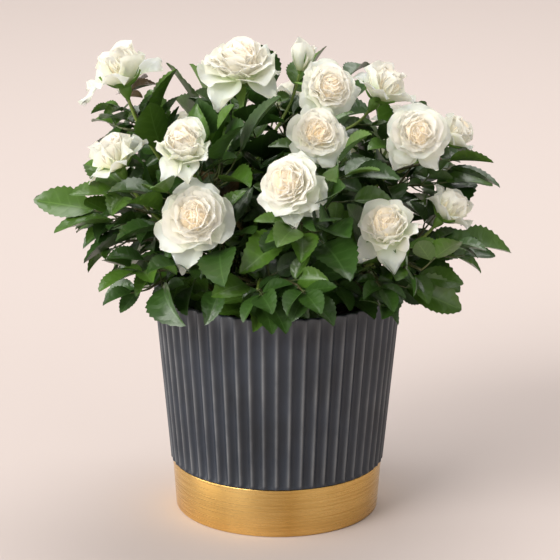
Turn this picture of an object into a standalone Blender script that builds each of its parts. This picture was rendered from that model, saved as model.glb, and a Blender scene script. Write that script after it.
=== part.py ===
"""A miniature rose bush with white blooms in its ribbed pot, as separate named solids.

The pot stands at the origin on the XY plane, +Z up, sizes in metres. Headings are degrees
seen from above: 0 is +X (right), 90 is +Y (back) and -90 is the front.
"""

import math
import random

import bmesh
import bpy
import numpy as np
from mathutils import Matrix, Vector
from mathutils.geometry import interpolate_bezier

MM = 0.001
UP = Vector((0, 0, 1))
GAP = 0.3 * MM  # between pieces that meet

# ---------------------------------------------------------------- pot and compost
POT_HEIGHT = 130 * MM
RIM_RADIUS = 69.8 * MM
WALL_FOOT_RADIUS = 60.4 * MM  # of the ribs, where they end above the band
WALL_THICKNESS = 4.8 * MM
FLOOR_THICKNESS = 5 * MM
RIBS = 56
STEPS_PER_RIB = 3
FLUTE_DEPTH = 1.3 * MM
BAND_HEIGHT = 28.5 * MM
BAND_TOP_RADIUS = 59.5 * MM
BAND_FOOT_RADIUS = 57.4 * MM
BAND_THICKNESS = 1.5 * MM
BAND_FOOT_BEVEL = 0.8 * MM
ROUND_STEPS = 48
COMPOST_TOP = 112 * MM

# ---------------------------------------------------------------- canes, boughs and twigs
CANE_RADIUS = 2.5 * MM
BOUGH_RADIUS = 1.5 * MM
STEM_RADIUS = 1.2 * MM  # where a mass of foliage begins
TIP_RADIUS = 0.9 * MM
TWIG_RADIUS = 1.0 * MM
FOOT_FLARE = 1.5  # a cane's foot against its radius above
LINE_STEPS = 10  # straight stretches in a whole line from its root to its tip
CANE_SHARE = 0.5  # of its line, before the foliage begins
BOUGH_SHARE = 0.45
CROWN_HEART = Vector((0, 0, 148)) * MM  # leaves turn outwards from here

# ---------------------------------------------------------------- leaves
TURN = 137.5  # degrees between one leaf and the next round a twig
LEAF_GAP = 9.5 * MM  # between leaf feet along a twig
LEAF_ANGLE = 55  # degrees between a leaf and its twig
PETIOLE = 13 * MM
PETIOLE_WIDTH = 0.9 * MM
PETIOLE_SUNK = 0.05 * MM  # of its foot beyond the middle of the twig
TERMINAL_LENGTH = 41 * MM  # from the leaf's node, where its leaflets meet
PAIR_LENGTHS = (31 * MM, 26 * MM)
PAIR_ANGLES = (62, 121)  # degrees from the terminal leaflet
LEAFLET_WIDTH = 0.58  # of its length
LEAFLET_WIDEST = 0.55  # where that is, from its node
LEAFLET_FOLD = 0.05  # how far its sides are raised, by length
LEAFLET_DROOP = 0.15
NOTCH = 4 * MM  # how near to the node the leaflets part
LEAF_THICKNESS = 0.8 * MM  # at the node
CLEARANCE = 0.6 * MM  # between foliage and what it has to miss
TRIES = 20  # places tried for a leaf or twig of the seeded rule before it is skipped

# A cane rises from the compost at a heading and a distance from the middle, in mm.
CANES = {
    "left": (185, 17),
    "front_left": (-118, 15),
    "middle": (75, 3),
    "front_right": (-62, 16),
    "right": (-5, 18),
    "back": (105, 19),
}

# Blooms: heading, reach and height of the middle in mm, width in mm, heading and rise of the
# way that it faces, how far it has opened, and how many guard petals have dropped.
BLOOMS = {
    "left_top": [(173.6, 89, 253, 42, 160, 74, "cup", 1)],
    "left": [(-166.4, 94, 211, 36, 178, 62, "cup", 1)],
    "upper_left": [(-136.6, 70, 223, 34, -105, 48, "cup", 1)],
    "front_left": [(-124, 80, 187, 41, -96, 18, "rosette", 0)],
    "top": [
        (174.6, 22, 256, 44, -95, 76, "rosette", 2),
        (52, 21, 256, 20, 40, 78, "bud", 0),
    ],
    "top_right": [
        (-42.5, 37, 248.5, 34, -72, 34, "rosette", 0),
        (2, 59, 245, 38, 18, 58, "cup", 0),
    ],
    "front": [
        (-85.4, 78, 209, 38, -108, 20, "rosette", 2),
        (-66, 51, 228.5, 33, -78, 38, "rosette", 0),
    ],
    "right_top": [
        (-26.7, 84, 227, 35, -82, 24, "rosette", 1),
        (1, 99, 218, 30, 5, 42, "cup", 0),
    ],
    "right": [(-13, 98, 182, 33, 8, 50, "cup", 0)],
    "front_right": [(-50, 91, 184, 36, -104, 44, "cup", 1)],
    "back_left": [(131, 84, 203, 36, 140, 42, "rosette", 0)],
    "back_left_low": [(158, 96, 176, 33, 165, 28, "cup", 0)],
    "back": [(103, 94, 184, 38, 95, 26, "rosette", 0)],
    "back_top": [(82, 66, 222, 34, 88, 55, "rosette", 0)],
    "back_right": [(54, 94, 190, 37, 58, 30, "rosette", 0)],
    "back_right_top": [(33, 84, 212, 32, 40, 50, "cup", 0)],
    "skirt_left": [],
    "skirt_front": [],
    "skirt_right": [],
    "skirt_back_left": [],
    "skirt_back_right": [],
}

# A mass grows on from a cane, or from a bough that leaves a cane part of the way up.
ROOTS = {
    "left": ("left", None),
    "left_top": ("left", 0.62),
    "back_left_low": ("left", 0.4),
    "skirt_left": ("left", 0.25),
    "front_left": ("front_left", None),
    "upper_left": ("front_left", 0.72),
    "skirt_front": ("front_left", 0.3),
    "top": ("middle", None),
    "top_right": ("middle", 0.7),
    "back_top": ("middle", 0.5),
    "front": ("front_right", None),
    "front_right": ("front_right", 0.5),
    "skirt_right": ("front_right", 0.25),
    "right_top": ("right", None),
    "right": ("right", 0.5),
    "back_right_top": ("right", 0.75),
    "back": ("back", None),
    "back_left": ("back", 0.75),
    "back_right": ("back", 0.55),
    "skirt_back_left": ("back", 0.25),
    "skirt_back_right": ("back", 0.35),
}

# Rings of a bloom from its hip to its heart: radius, height and lobing, by its half width.
BLOOM_COLUMNS = 10
BLOOM_FOOT = -0.9
BLOOM_PROFILES = {
    "rosette": [
        (0.17, -0.86, 0),
        (0.3, -0.6, 0),
        (0.84, -0.24, 0.1),
        (0.96, 0.0, 0.2),
        (0.7, 0.02, 0),
        (0.58, 0.38, 0.1),
    ],
    "cup": [
        (0.17, -0.86, 0),
        (0.36, -0.66, 0),
        (0.7, -0.24, 0.06),
        (0.8, 0.2, 0.1),
        (0.94, 0.5, 0.22),
        (0.5, 0.46, 0),
    ],
    "bud": [
        (0.25, -0.84, 0),
        (0.6, -0.56, 0),
        (0.84, -0.1, 0.05),
        (0.8, 0.4, 0.05),
        (0.52, 0.82, 0.1),
        (0.2, 1.06, 0),
    ],
}
BLOOM_HEARTS = {"rosette": 0.26, "cup": 0.32, "bud": 1.12}

# Leafy shoots with no bloom end here: heading, reach and height in mm.
SHOOT_ENDS = {
    "skirt_left": (-146, 80, 152),
    "skirt_front": (-98, 78, 150),
    "skirt_right": (-38, 78, 150),
    "skirt_back_left": (132, 80, 152),
    "skirt_back_right": (45, 80, 150),
}

# Leaves whose tips make the crown's outline: how far along the stem they leave it, and the
# heading, reach and height of the tip in mm.
OUTLINE_LEAVES = {
    "left_top": [(0.45, -177, 96, 217), (0.55, 166, 56, 234)],
    "left": [
        (0.25, -175.8, 138, 177),
        (0.35, -167, 128, 168),
        (0.5, 176, 112, 200),
        (0.15, -163, 114, 152),
    ],
    "top": [(0.45, 172, 50, 238), (0.6, -60, 32, 232)],
    "back_top": [(0.5, 112, 34, 270)],
    "skirt_left": [(0.5, -157, 112, 148), (0.75, -143, 96, 138), (0.9, -124, 101, 127)],
    "skirt_front": [(0.9, -92, 93, 128), (0.5, -110, 98, 148), (0.7, -74, 92, 150)],
    "skirt_right": [
        (0.4, -21, 110, 123),
        (0.55, -13, 118, 130),
        (0.8, -64, 94, 138),
        (0.7, -36, 98, 140),
    ],
    "right": [(0.45, 0, 134, 148), (0.55, 10, 114, 191), (0.3, -6, 112, 158)],
    "back_left_low": [(0.5, 172, 122, 170), (0.3, 163, 116, 146)],
    "back_left": [(0.5, 148, 108, 190)],
    "back": [(0.6, 96, 122, 158), (0.4, 112, 116, 172)],
    "back_right": [(0.5, 50, 120, 166), (0.4, 66, 118, 172)],
    "back_right_top": [(0.5, 26, 112, 186)],
    "skirt_back_left": [(0.6, 152, 108, 142), (0.9, 128, 104, 132)],
    "skirt_back_right": [(0.6, 28, 112, 140), (0.9, 52, 106, 132)],
}

# How far out the leaves of the seeded rule may reach: height, and reach there, in mm.
CROWN = ((126, 104), (150, 126), (180, 130), (205, 122), (228, 108), (248, 88), (268, 40))

SIDE_TWIGS = 4  # leafy twigs that the seeded rule grows on each stem
SIDE_TWIG_LENGTH = 34 * MM


# ================================================================ small helpers
def polar(heading, reach, height):
    """A point in metres from a heading in degrees and a reach and height in millimetres."""
    angle = math.radians(heading)
    return Vector((reach * math.cos(angle), reach * math.sin(angle), height)) * MM


def way(heading, rise):
    """A unit vector at a heading and a rise above the level, in degrees."""
    a, e = math.radians(heading), math.radians(rise)
    return Vector((math.cos(a) * math.cos(e), math.sin(a) * math.cos(e), math.sin(e)))


def blend(a, b, share):
    return a + (b - a) * share


def across(direction, like):
    """The part of like that is square to direction, as a unit vector."""
    square = like - direction * like.dot(direction)
    if square.length < 1e-6:
        square = direction.orthogonal()
    return square.normalized()


def point_along(points, share):
    """The point and the heading a share of the way along a run of points."""
    place = share * (len(points) - 1)
    index = min(int(place), len(points) - 2)
    ahead = (points[index + 1] - points[index]).normalized()
    return blend(points[index], points[index + 1], place - index), ahead


# ================================================================ growth
def bloom_foot(bloom):
    """Where a bloom's stalk ends, under its cup."""
    heading, reach, height, width, facing, rise, _, _ = bloom
    return polar(heading, reach, height) - way(facing, rise) * width * MM * 0.39


def line_end(mass):
    """The tip of a mass's stem and the way that it points there."""
    if BLOOMS[mass]:
        return bloom_foot(BLOOMS[mass][0]), way(*BLOOMS[mass][0][4:6])
    heading, reach, height = SHOOT_ENDS[mass]
    return polar(heading, reach, height), way(heading, -25)


def curved_line(start, leaving, end, arriving, steps=LINE_STEPS):
    """Points on one smooth stem from start to end."""
    pull = (end - start).length * 0.36
    return interpolate_bezier(start, start + leaving * pull, end - arriving * pull, end, steps + 1)


def cane_line(mass, cane):
    heading, reach = CANES[cane]
    foot = polar(heading, reach, 0)
    foot.z = COMPOST_TOP + GAP
    end, arriving = line_end(mass)
    lean = Vector((end.x - foot.x, end.y - foot.y, 0)) * 0.5
    leaving = (UP * 0.09 + lean).normalized()
    return [foot, *curved_line(foot + UP * CANE_RADIUS, leaving, end, arriving)]


def bough_line(mass, cane_points, share):
    """A bough starts just clear of its cane, so that its flat foot doesn't touch the bark."""
    start, along = point_along(cane_points, share)
    end, arriving = line_end(mass)
    outwards = across(along, end - start)
    leaving = (along * 0.75 + outwards).normalized()
    slant = leaving.angle(along)
    clear = (CANE_RADIUS + GAP * 2 + BOUGH_RADIUS * math.cos(slant)) / math.sin(slant)
    return curved_line(start + leaving * clear, leaving, end, arriving)


def split_line(points, share):
    """The limb below and the mass's stem above, with a gap where they meet."""
    index = round(share * (len(points) - 1))
    ahead = (points[index + 1] - points[index - 1]).normalized()
    lower, upper = list(points[: index + 1]), list(points[index:])
    lower[-1] = lower[-1] - ahead * GAP * 0.7
    upper[0] = upper[0] + ahead * GAP * 0.7
    return lower, upper


def grow_lines():
    """{cane or bough: points} and {mass: stem points} for the whole bush."""
    limbs, stems = {}, {}
    for mass, (cane, share) in ROOTS.items():
        if share is None:
            limbs["cane_" + cane], stems[mass] = split_line(cane_line(mass, cane), CANE_SHARE)
    for mass, (cane, share) in ROOTS.items():
        if share is not None:
            line = bough_line(mass, limbs["cane_" + cane], share)
            limbs["bough_" + mass], stems[mass] = split_line(line, BOUGH_SHARE)
    return limbs, stems


def bloom_twigs(mass, stem):
    """The stem's own forks, one for each further bloom of the mass."""
    twigs = []
    for bloom in BLOOMS[mass][1:]:
        start, along = point_along(stem, 0.25)
        end = bloom_foot(bloom)
        leaving = (along + across(along, end - start) * 0.8).normalized()
        twigs.append(curved_line(start, leaving, end, way(*bloom[4:6]), 5))
    return twigs


def outline_twig(stem, aim):
    """A twig toward an outline leaf whose tip is too far off for the leaf alone, or None."""
    start, along = point_along(stem, aim[0])
    tip = polar(*aim[1:])
    reach = PETIOLE + TERMINAL_LENGTH
    short = (tip - start).length - reach
    if short < 8 * MM:
        return None
    ahead = (tip - start).normalized()
    leaving = (ahead + along * 0.5 + UP * 0.2).normalized()
    return curved_line(start, leaving, start + ahead * short + UP * 0.1 * short, ahead, 3)


def side_twig(stem, index, chance):
    """A leafy twig of the seeded rule: it leaves the stem sideways and turns outwards."""
    start, along = point_along(stem, chance.uniform(0.08, 0.65))
    spin = Matrix.Rotation(math.radians(index * TURN + chance.uniform(0, 180)), 3, along)
    sideways = spin @ across(along, UP)
    outwards = (start - CROWN_HEART).normalized()
    leaving = (along * 0.5 + sideways + outwards * 0.5).normalized()
    arriving = (leaving + outwards * 0.8 - UP * 0.25).normalized()
    length = SIDE_TWIG_LENGTH * chance.uniform(0.6, 1.15)
    end = start + (leaving + arriving).normalized() * length
    return curved_line(start, leaving, end, arriving, 2)


def leaf_face(place, toward, chance):
    """Leaves turn their upper sides up and away from the middle of the bush."""
    outwards = (place - CROWN_HEART).normalized()
    jitter = Vector([chance.uniform(-0.3, 0.3) for _ in range(3)])
    return across(toward, UP * 0.75 + outwards * 0.75 + jitter)


def leaf_at(foot, toward, face, size, pairs):
    """A compound leaf: its foot, and each leaflet as (node, heading, face, length)."""
    node = foot + toward * PETIOLE * size
    leaflets = [(node, toward, face, TERMINAL_LENGTH * size)]
    for angle, length in list(zip(PAIR_ANGLES, PAIR_LENGTHS))[:pairs]:
        for hand in (1, -1):
            heading = Matrix.Rotation(math.radians(hand * angle), 3, face) @ toward
            leaflets.append((node, heading, face, length * size))
    return foot, leaflets


def twig_leaf(twig, share, index, attempt, chance):
    """A compound leaf by the seeded rule, turned on round the twig and smaller at each attempt."""
    foot, along = point_along(twig, share)
    turn = math.radians((index + attempt) * TURN + chance.uniform(-25, 25))
    tried = attempt / TRIES
    outwards = (foot - CROWN_HEART).normalized() * (0.8 - tried)
    spin = Matrix.Rotation(turn, 3, along)
    sideways = (spin @ across(along, UP) + outwards).normalized()
    angle = math.radians(LEAF_ANGLE + chance.uniform(-16, 16)) * (0.4 if share > 0.95 else 1)
    toward = (along * math.cos(angle) + sideways * math.sin(angle)).normalized()
    size = chance.uniform(0.7, 1.0) * (1 - tried * 0.35)
    return leaf_at(foot, toward, leaf_face(foot, toward, chance), size, 2)


def leaf_places(twig, first, last):
    """How far along a twig its leaves leave it."""
    length = sum((b - a).length for a, b in zip(twig, twig[1:]))
    count = max(1, round(length * (last - first) / LEAF_GAP))
    middles = [first + (last - first) * (index + 0.5) / count for index in range(count)]
    return [0.96, *middles] if last == 1 else middles


def outline_leaf(foot, aim, chance):
    """A leaf whose terminal leaflet's tip comes to a given place."""
    tip = polar(*aim[1:])
    toward = (tip - foot + UP * TERMINAL_LENGTH * LEAFLET_DROOP).normalized()
    size = (tip - foot).length / (PETIOLE + TERMINAL_LENGTH)
    return leaf_at(foot, toward, leaf_face(foot, toward, chance), size, 2)


# ================================================================ keeping clear
def runs(points, radius, spacing=1.5 * MM):
    """Spots (x, y, z, radius) close together along a run of points."""
    spots = []
    for a, b in zip(points, points[1:]):
        count = max(1, math.ceil((b - a).length / spacing))
        spots += [(*blend(a, b, i / count), radius) for i in range(count)]
    return spots + [(*points[-1], radius)]


def limb_radii(name, points):
    """A cane or bough tapers to the radius of the stems that grow on from it."""
    cane = name.startswith("cane")
    radii = taper(CANE_RADIUS if cane else BOUGH_RADIUS, STEM_RADIUS, len(points))
    if cane:
        radii[0] *= FOOT_FLARE
    return radii


def limb_spots(name, points):
    radii = limb_radii(name, points)
    return [spot for a, b, r in zip(points, points[1:], radii) for spot in runs([a, b], r)]


def ball(bloom):
    """A bloom as one spot."""
    return (*polar(*bloom[:3]), bloom[3] * MM * 0.5)


def leaflet_frame(leaflet):
    """Local X along the midrib, Z out of the upper side, origin at the leaf's node."""
    node, heading, face, _ = leaflet
    frame = Matrix((heading, face.cross(heading), face)).transposed().to_4x4()
    frame.translation = node
    return frame


def half_width(share, length):
    """Half of a leaflet's width a share of the way from the node to its tip."""
    bulge = np.sin(np.pi * np.clip(share, 0, 1) ** 1.15)
    return length * LEAFLET_WIDTH / 2 * bulge


def leaflet_grid(leaflet):
    """Points spread over a leaflet."""
    length = leaflet[3]
    to_world = np.array(leaflet_frame(leaflet))
    share = np.repeat(np.linspace(0.16, 1, 8), 5)
    hand = np.tile([-1, -0.5, 0, 0.5, 1], 8)
    rise = LEAFLET_FOLD * np.abs(hand) - LEAFLET_DROOP * share**2
    local = np.stack([share * length, hand * half_width(share, length), rise * length], axis=1)
    return local @ to_world[:3, :3].T + to_world[:3, 3]


def hits_spots(leaflet, spots):
    """Whether any spot, with its radius, is in the leaflet's blade."""
    if not len(spots):
        return False
    to_leaf = np.array(leaflet_frame(leaflet).inverted())
    local = spots[:, :3] @ to_leaf[:3, :3].T + to_leaf[:3, 3]
    reach = spots[:, 3] + CLEARANCE
    length = leaflet[3]
    share = np.clip(local[:, 0] / length, 0, 1)
    near = (local[:, 0] > 0.1 * length) & (local[:, 0] < length + reach)
    wide = np.abs(local[:, 1]) < half_width(share, length) + reach
    low = LEAFLET_DROOP * share**2 * length + LEAF_THICKNESS / 2
    thick = (local[:, 2] > -low - reach) & (local[:, 2] < LEAFLET_FOLD * length - low + reach + 1 * MM)
    return bool((near & wide & thick).any())


def distance_to(points, spots):
    """From each point to the nearest spot's surface."""
    gaps = np.linalg.norm(points[:, None] - spots[None, :, :3], axis=2) - spots[None, :, 3]
    return gaps.min(axis=1)


def in_crown(points):
    """Whether all of the points are in the crown, above its hem and within its reach."""
    heights, reaches = np.array(CROWN).T * MM
    radius, height = np.hypot(points[:, 0], points[:, 1]), points[:, 2]
    inside = (radius < np.interp(height, heights, reaches)) & (height < heights[-1])
    over_pot = (radius < RIM_RADIUS - WALL_THICKNESS) & (height > COMPOST_TOP)
    return bool((inside & ((height > heights[0]) | over_pot)).all())


def hits_pot(points):
    """Whether any point is in the pot's wall or rim, or in the compost."""
    radius = np.hypot(points[:, 0], points[:, 1])
    height = points[:, 2]
    rise = np.clip((height - BAND_HEIGHT) / (POT_HEIGHT - BAND_HEIGHT), 0, 1)
    outer = WALL_FOOT_RADIUS + (RIM_RADIUS - WALL_FOOT_RADIUS) * rise + 2 * CLEARANCE
    inner = outer - WALL_THICKNESS - 5 * CLEARANCE
    low = height < POT_HEIGHT + 2 * CLEARANCE
    in_compost = (radius < outer) & (height < COMPOST_TOP + 2 * CLEARANCE)
    return bool((low & (radius < outer) & (radius > inner)).any() or in_compost.any())


# ================================================================ modelling tools
def link(obj, collection):
    collection.objects.link(obj)
    return obj


def object_from(name, bm, material, collection):
    mesh = bpy.data.meshes.new(name)
    bm.to_mesh(mesh)
    bm.free()
    mesh.materials.append(material)
    return link(bpy.data.objects.new(name, mesh), collection)


def baked(obj, name, material, collection):
    """The object's evaluated mesh, welded, as a new object in its place. The old one goes."""
    graph = bpy.context.evaluated_depsgraph_get()
    mesh = bpy.data.meshes.new_from_object(obj.evaluated_get(graph))
    bm = bmesh.new()
    bm.from_mesh(mesh)
    bmesh.ops.remove_doubles(bm, verts=bm.verts, dist=1e-6)
    bm.to_mesh(mesh)
    bm.free()
    mesh.materials.clear()
    mesh.materials.append(material)
    bpy.data.objects.remove(obj)
    return link(bpy.data.objects.new(name, mesh), collection)


def limb(name, points, radii, sides, material, collection):
    """One tapering limb: a POLY curve with a round bevel, or with a three-sided one."""
    curve = bpy.data.curves.new(name, "CURVE")
    curve.dimensions = "3D"
    curve.use_fill_caps = True
    if sides == 3:
        curve.bevel_mode = "OBJECT"
        curve.bevel_object = bpy.data.objects["twig_section"]
    else:
        curve.bevel_depth = 1
        curve.bevel_resolution = sides // 2 - 2
    spline = curve.splines.new("POLY")
    spline.points.add(len(points) - 1)
    for knot, place, radius in zip(spline.points, points, radii):
        knot.co = (*place, 1)
        knot.radius = radius
    return baked(link(bpy.data.objects.new(name, curve), collection), name, material, collection)


def taper(first, last, count):
    return [blend(first, last, i / (count - 1)) for i in range(count)]


def leaf_outline(foot, leaflets):
    """The points round a compound leaf, counter-clockwise from above, from its petiole's foot."""
    node, toward, face, _ = leaflets[0]
    side = face.cross(toward)

    def place(heading, along, across_it, high):
        return node + heading * along + face.cross(heading) * across_it + face * high

    def angle_of(leaflet):
        return math.atan2(leaflet[1].dot(side), leaflet[1].dot(toward))

    turned = sorted(leaflets, key=angle_of)
    behind = -(foot - node).length - PETIOLE_SUNK
    points = [
        node + toward * behind + side * hand * PETIOLE_WIDTH / 2 for hand in (1, -1)
    ]
    for leaflet, after in zip(turned, [*turned[1:], None]):
        _, heading, _, length = leaflet
        wide = float(half_width(LEAFLET_WIDEST, length))
        along, raised = LEAFLET_WIDEST * length, length * (LEAFLET_FOLD - LEAFLET_DROOP * 0.3)
        points.append(place(heading, along, -wide, raised))
        points.append(place(heading, length, 0, -LEAFLET_DROOP * length))
        points.append(place(heading, along, wide, raised))
        if after:
            points.append(node + (heading + after[1]).normalized() * NOTCH)
    return points


def leaf_blade(name, leaf, material, collection):
    """A compound leaf as one blade: a double cone whose ring is drawn out to the outline."""
    foot, leaflets = leaf
    node, _, face, _ = leaflets[0]
    outline = leaf_outline(foot, leaflets)
    bm = bmesh.new()
    bmesh.ops.create_uvsphere(bm, u_segments=len(outline), v_segments=2, radius=1)
    for vert in bm.verts:
        if abs(vert.co.z) > 0.5:
            vert.co = node + face * math.copysign(LEAF_THICKNESS / 2, vert.co.z)
        else:
            turn = math.atan2(vert.co.y, vert.co.x) / (2 * math.pi) * len(outline)
            vert.co = outline[round(turn) % len(outline)]
    return object_from(name, bm, material, collection)


def petal_blade(name, bloom, angle, material, collection):
    """A guard petal that has dropped away from its bloom: a broad blade hanging outwards."""
    heading, reach, height, width, facing, rise, _, _ = bloom
    up = way(facing, rise)
    turn = up.to_track_quat("Z", "Y") @ Vector((math.cos(angle), math.sin(angle), 0))
    radius = width * MM / 2
    foot = polar(heading, reach, height) - up * radius * 0.42 + turn * radius * 0.3
    hang = (turn - up * 0.35 - UP * 0.45).normalized()
    length = radius * 0.95
    bm = bmesh.new()
    bmesh.ops.create_uvsphere(bm, u_segments=6, v_segments=2, radius=1)
    for vert in bm.verts:
        share = (vert.co.x + 1) / 2
        thick = (1.5 if vert.co.z > 0 else 0.5) * MM if abs(vert.co.z) > 0.5 else 0
        wide = vert.co.y * length * (0.62 if share > 0.5 else 0.5)
        vert.co = (share * length, wide, thick - share**2 * length * 0.18)
    side = across(hang, up).cross(hang)
    frame = Matrix((hang, side, hang.cross(side))).transposed().to_4x4()
    frame.translation = foot
    bmesh.ops.transform(bm, matrix=frame, verts=bm.verts)
    return object_from(name, bm, material, collection)


def bloom_body(name, bloom, material, collection):
    """A bloom from one sphere: its rings follow a profile, and its columns are lobed as petals."""
    heading, reach, height, width, facing, rise, opened, _ = bloom
    profile = BLOOM_PROFILES[opened]
    radius = width * MM / 2
    bm = bmesh.new()
    rings = len(profile)
    bmesh.ops.create_uvsphere(bm, u_segments=BLOOM_COLUMNS, v_segments=rings + 1, radius=1)
    for vert in bm.verts:
        ring = round(math.acos(max(-1, min(1, -vert.co.z))) / math.pi * (rings + 1)) - 1
        if 0 <= ring < rings:
            angle = math.atan2(vert.co.y, vert.co.x)
            out, high, lobe = profile[ring]
            lobe *= math.cos(angle * BLOOM_COLUMNS / 2)
            out *= radius * (1 + lobe * 0.5)
            vert.co = (out * math.cos(angle), out * math.sin(angle), radius * (high + lobe * 0.4))
        else:
            vert.co = (0, 0, radius * (BLOOM_FOOT if ring < 0 else BLOOM_HEARTS[opened]))
    frame = way(facing, rise).to_track_quat("Z", "Y").to_matrix().to_4x4()
    frame.translation = polar(heading, reach, height)
    bmesh.ops.transform(bm, matrix=frame, verts=bm.verts)
    return object_from(name, bm, material, collection)


def drop_scraps(mesh):
    """Keeps only the largest patch of faces that meet along edges."""
    bm = bmesh.new()
    bm.from_mesh(mesh)
    waiting, largest = set(bm.faces), set()
    while waiting:
        found, edge_faces = set(), {waiting.pop()}
        while edge_faces:
            found |= edge_faces
            edge_faces = {f for g in edge_faces for e in g.edges for f in e.link_faces} - found
        waiting -= found
        largest = max(largest, found, key=len)
    scraps = [face for face in bm.faces if face not in largest]
    bmesh.ops.delete(bm, geom=scraps, context="FACES")
    bm.to_mesh(mesh)
    bm.free()


def join(base, collection):
    """One Boolean union of the base with all of the collection, which is then removed."""
    union = base.modifiers.new("union", "BOOLEAN")
    union.operation = "UNION"
    union.operand_type = "COLLECTION"
    union.collection = collection
    union.solver = "EXACT"
    made = baked(base, base.name, base.data.materials[0], base.users_collection[0])
    drop_scraps(made.data)
    for obj in list(collection.objects):
        bpy.data.objects.remove(obj)
    bpy.data.collections.remove(collection)


# ================================================================ sub-parts
def frustum(name, low_radius, high_radius, low, high, segments, material, collection):
    bm = bmesh.new()
    bmesh.ops.create_cone(
        bm,
        cap_ends=True,
        segments=segments,
        radius1=low_radius,
        radius2=high_radius,
        depth=high - low,
        matrix=Matrix.Translation((0, 0, (low + high) / 2)),
    )
    return object_from(name, bm, material, collection)


def cut(base, cutter, operation="DIFFERENCE"):
    modifier = base.modifiers.new(operation.lower(), "BOOLEAN")
    modifier.operation = operation
    modifier.object = cutter
    modifier.solver = "EXACT"


def flute(mesh):
    """Concave flutes between narrow ribs: the rim of each step but the first is drawn in."""
    for vert in mesh.vertices:
        x, y, _ = vert.co
        step = round(math.atan2(y, x) / (2 * math.pi) * RIBS * STEPS_PER_RIB) % STEPS_PER_RIB
        depth = FLUTE_DEPTH * math.sin(math.pi * step / STEPS_PER_RIB) ** 0.7
        radius = math.hypot(x, y)
        vert.co.x *= (radius - depth) / radius
        vert.co.y *= (radius - depth) / radius


def make_pot(slate, collection, helpers):
    """Fluted outer wall and a plain spigot for the band, hollowed by a tapering cavity."""
    shell_foot = BAND_HEIGHT + GAP
    wall = frustum(
        "pot", WALL_FOOT_RADIUS, RIM_RADIUS, shell_foot, POT_HEIGHT,
        RIBS * STEPS_PER_RIB, slate, collection,
    )
    flute(wall.data)
    spigot_in = BAND_THICKNESS + GAP
    spigot = frustum(
        "pot_spigot", BAND_FOOT_RADIUS - spigot_in, BAND_TOP_RADIUS - spigot_in, 0,
        shell_foot + 2 * MM, ROUND_STEPS, slate, helpers,
    )
    slope = (RIM_RADIUS - WALL_FOOT_RADIUS) / (POT_HEIGHT - shell_foot)
    top, bottom = POT_HEIGHT + 10 * MM, FLOOR_THICKNESS
    inner_rim = RIM_RADIUS - WALL_THICKNESS
    cavity = frustum(
        "pot_cavity", inner_rim - (POT_HEIGHT - bottom) * slope,
        inner_rim + (top - POT_HEIGHT) * slope, bottom, top, ROUND_STEPS, slate, helpers,
    )
    cut(wall, spigot, "UNION")
    cut(wall, cavity)
    return baked(wall, "pot", slate, collection), inner_rim, slope


def make_band(gold, collection):
    """The brushed band: a turned sleeve round the pot's spigot, its foot eased."""
    thick = BAND_THICKNESS
    profile = [
        (BAND_TOP_RADIUS - thick, BAND_HEIGHT),
        (BAND_TOP_RADIUS, BAND_HEIGHT),
        (BAND_FOOT_RADIUS + 0.05 * MM, BAND_FOOT_BEVEL),
        (BAND_FOOT_RADIUS - BAND_FOOT_BEVEL, 0),
        (BAND_FOOT_RADIUS - thick, 0),
    ]
    bm = bmesh.new()
    verts = [bm.verts.new((radius, 0, height)) for radius, height in profile]
    edges = [bm.edges.new((a, b)) for a, b in zip(verts, verts[1:] + verts[:1])]
    bmesh.ops.spin(
        bm, geom=verts + edges, cent=(0, 0, 0), axis=(0, 0, 1), angle=2 * math.pi,
        steps=ROUND_STEPS, use_merge=True,
    )
    bmesh.ops.recalc_face_normals(bm, faces=bm.faces)
    return object_from("gold_band", bm, gold, collection)


def make_compost(brown, inner_rim, slope, collection):
    low = FLOOR_THICKNESS + GAP
    return frustum(
        "compost", inner_rim - (POT_HEIGHT - low) * slope - GAP,
        inner_rim - (POT_HEIGHT - COMPOST_TOP) * slope - GAP, low, COMPOST_TOP,
        ROUND_STEPS // 2, brown, collection,
    )


def make_limbs(limbs, bark, collection):
    for name, points in limbs.items():
        limb(name, points, limb_radii(name, points), 6, bark, collection)


class Space:
    """What each mass keeps to: nearer to its own stems and blooms than to any other mass's."""

    def __init__(self, limbs, stems, forks):
        self.limbs = np.array([spot for name, points in limbs.items() for spot in limb_spots(name, points)])
        self.masses = {}
        for mass, stem in stems.items():
            spots = runs(stem, STEM_RADIUS)
            for fork in forks[mass]:
                spots += runs(fork, TWIG_RADIUS)
            for aim in OUTLINE_LEAVES.get(mass, []):
                foot, _ = point_along(stem, aim[0])
                spots += runs([foot, polar(*aim[1:])], TIP_RADIUS)
            self.masses[mass] = np.array(spots + [ball(b) for b in BLOOMS[mass]])
        self.balls = np.array([ball(b) for group in BLOOMS.values() for b in group])

    def others(self, mass):
        return np.concatenate([s for m, s in self.masses.items() if m != mass])

    def holds(self, mass, points):
        own = distance_to(points, self.masses[mass])
        return bool((own + CLEARANCE < distance_to(points, self.others(mass))).all())

    def clear(self, points):
        away = distance_to(points, self.balls) > -0.1 * MM
        return bool(away.all()) and not hits_pot(points)

    def takes_twig(self, mass, twig):
        points = np.array(runs(twig, 0))[:, :3]
        off_limbs = distance_to(points, self.limbs).min() > TWIG_RADIUS + CLEARANCE
        return off_limbs and self.holds(mass, points) and self.clear(points)

    def takes_leaflet(self, mass, leaflet):
        points = leaflet_grid(leaflet)
        if not self.clear(points) or not self.holds(mass, points):
            return False
        return not hits_spots(leaflet, self.limbs) and not hits_spots(leaflet, self.others(mass))


def petiole_spots(leaf, skipped=0):
    foot, leaflets = leaf
    return np.array(runs([foot, leaflets[0][0]], PETIOLE_WIDTH / 2)[skipped:])


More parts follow.
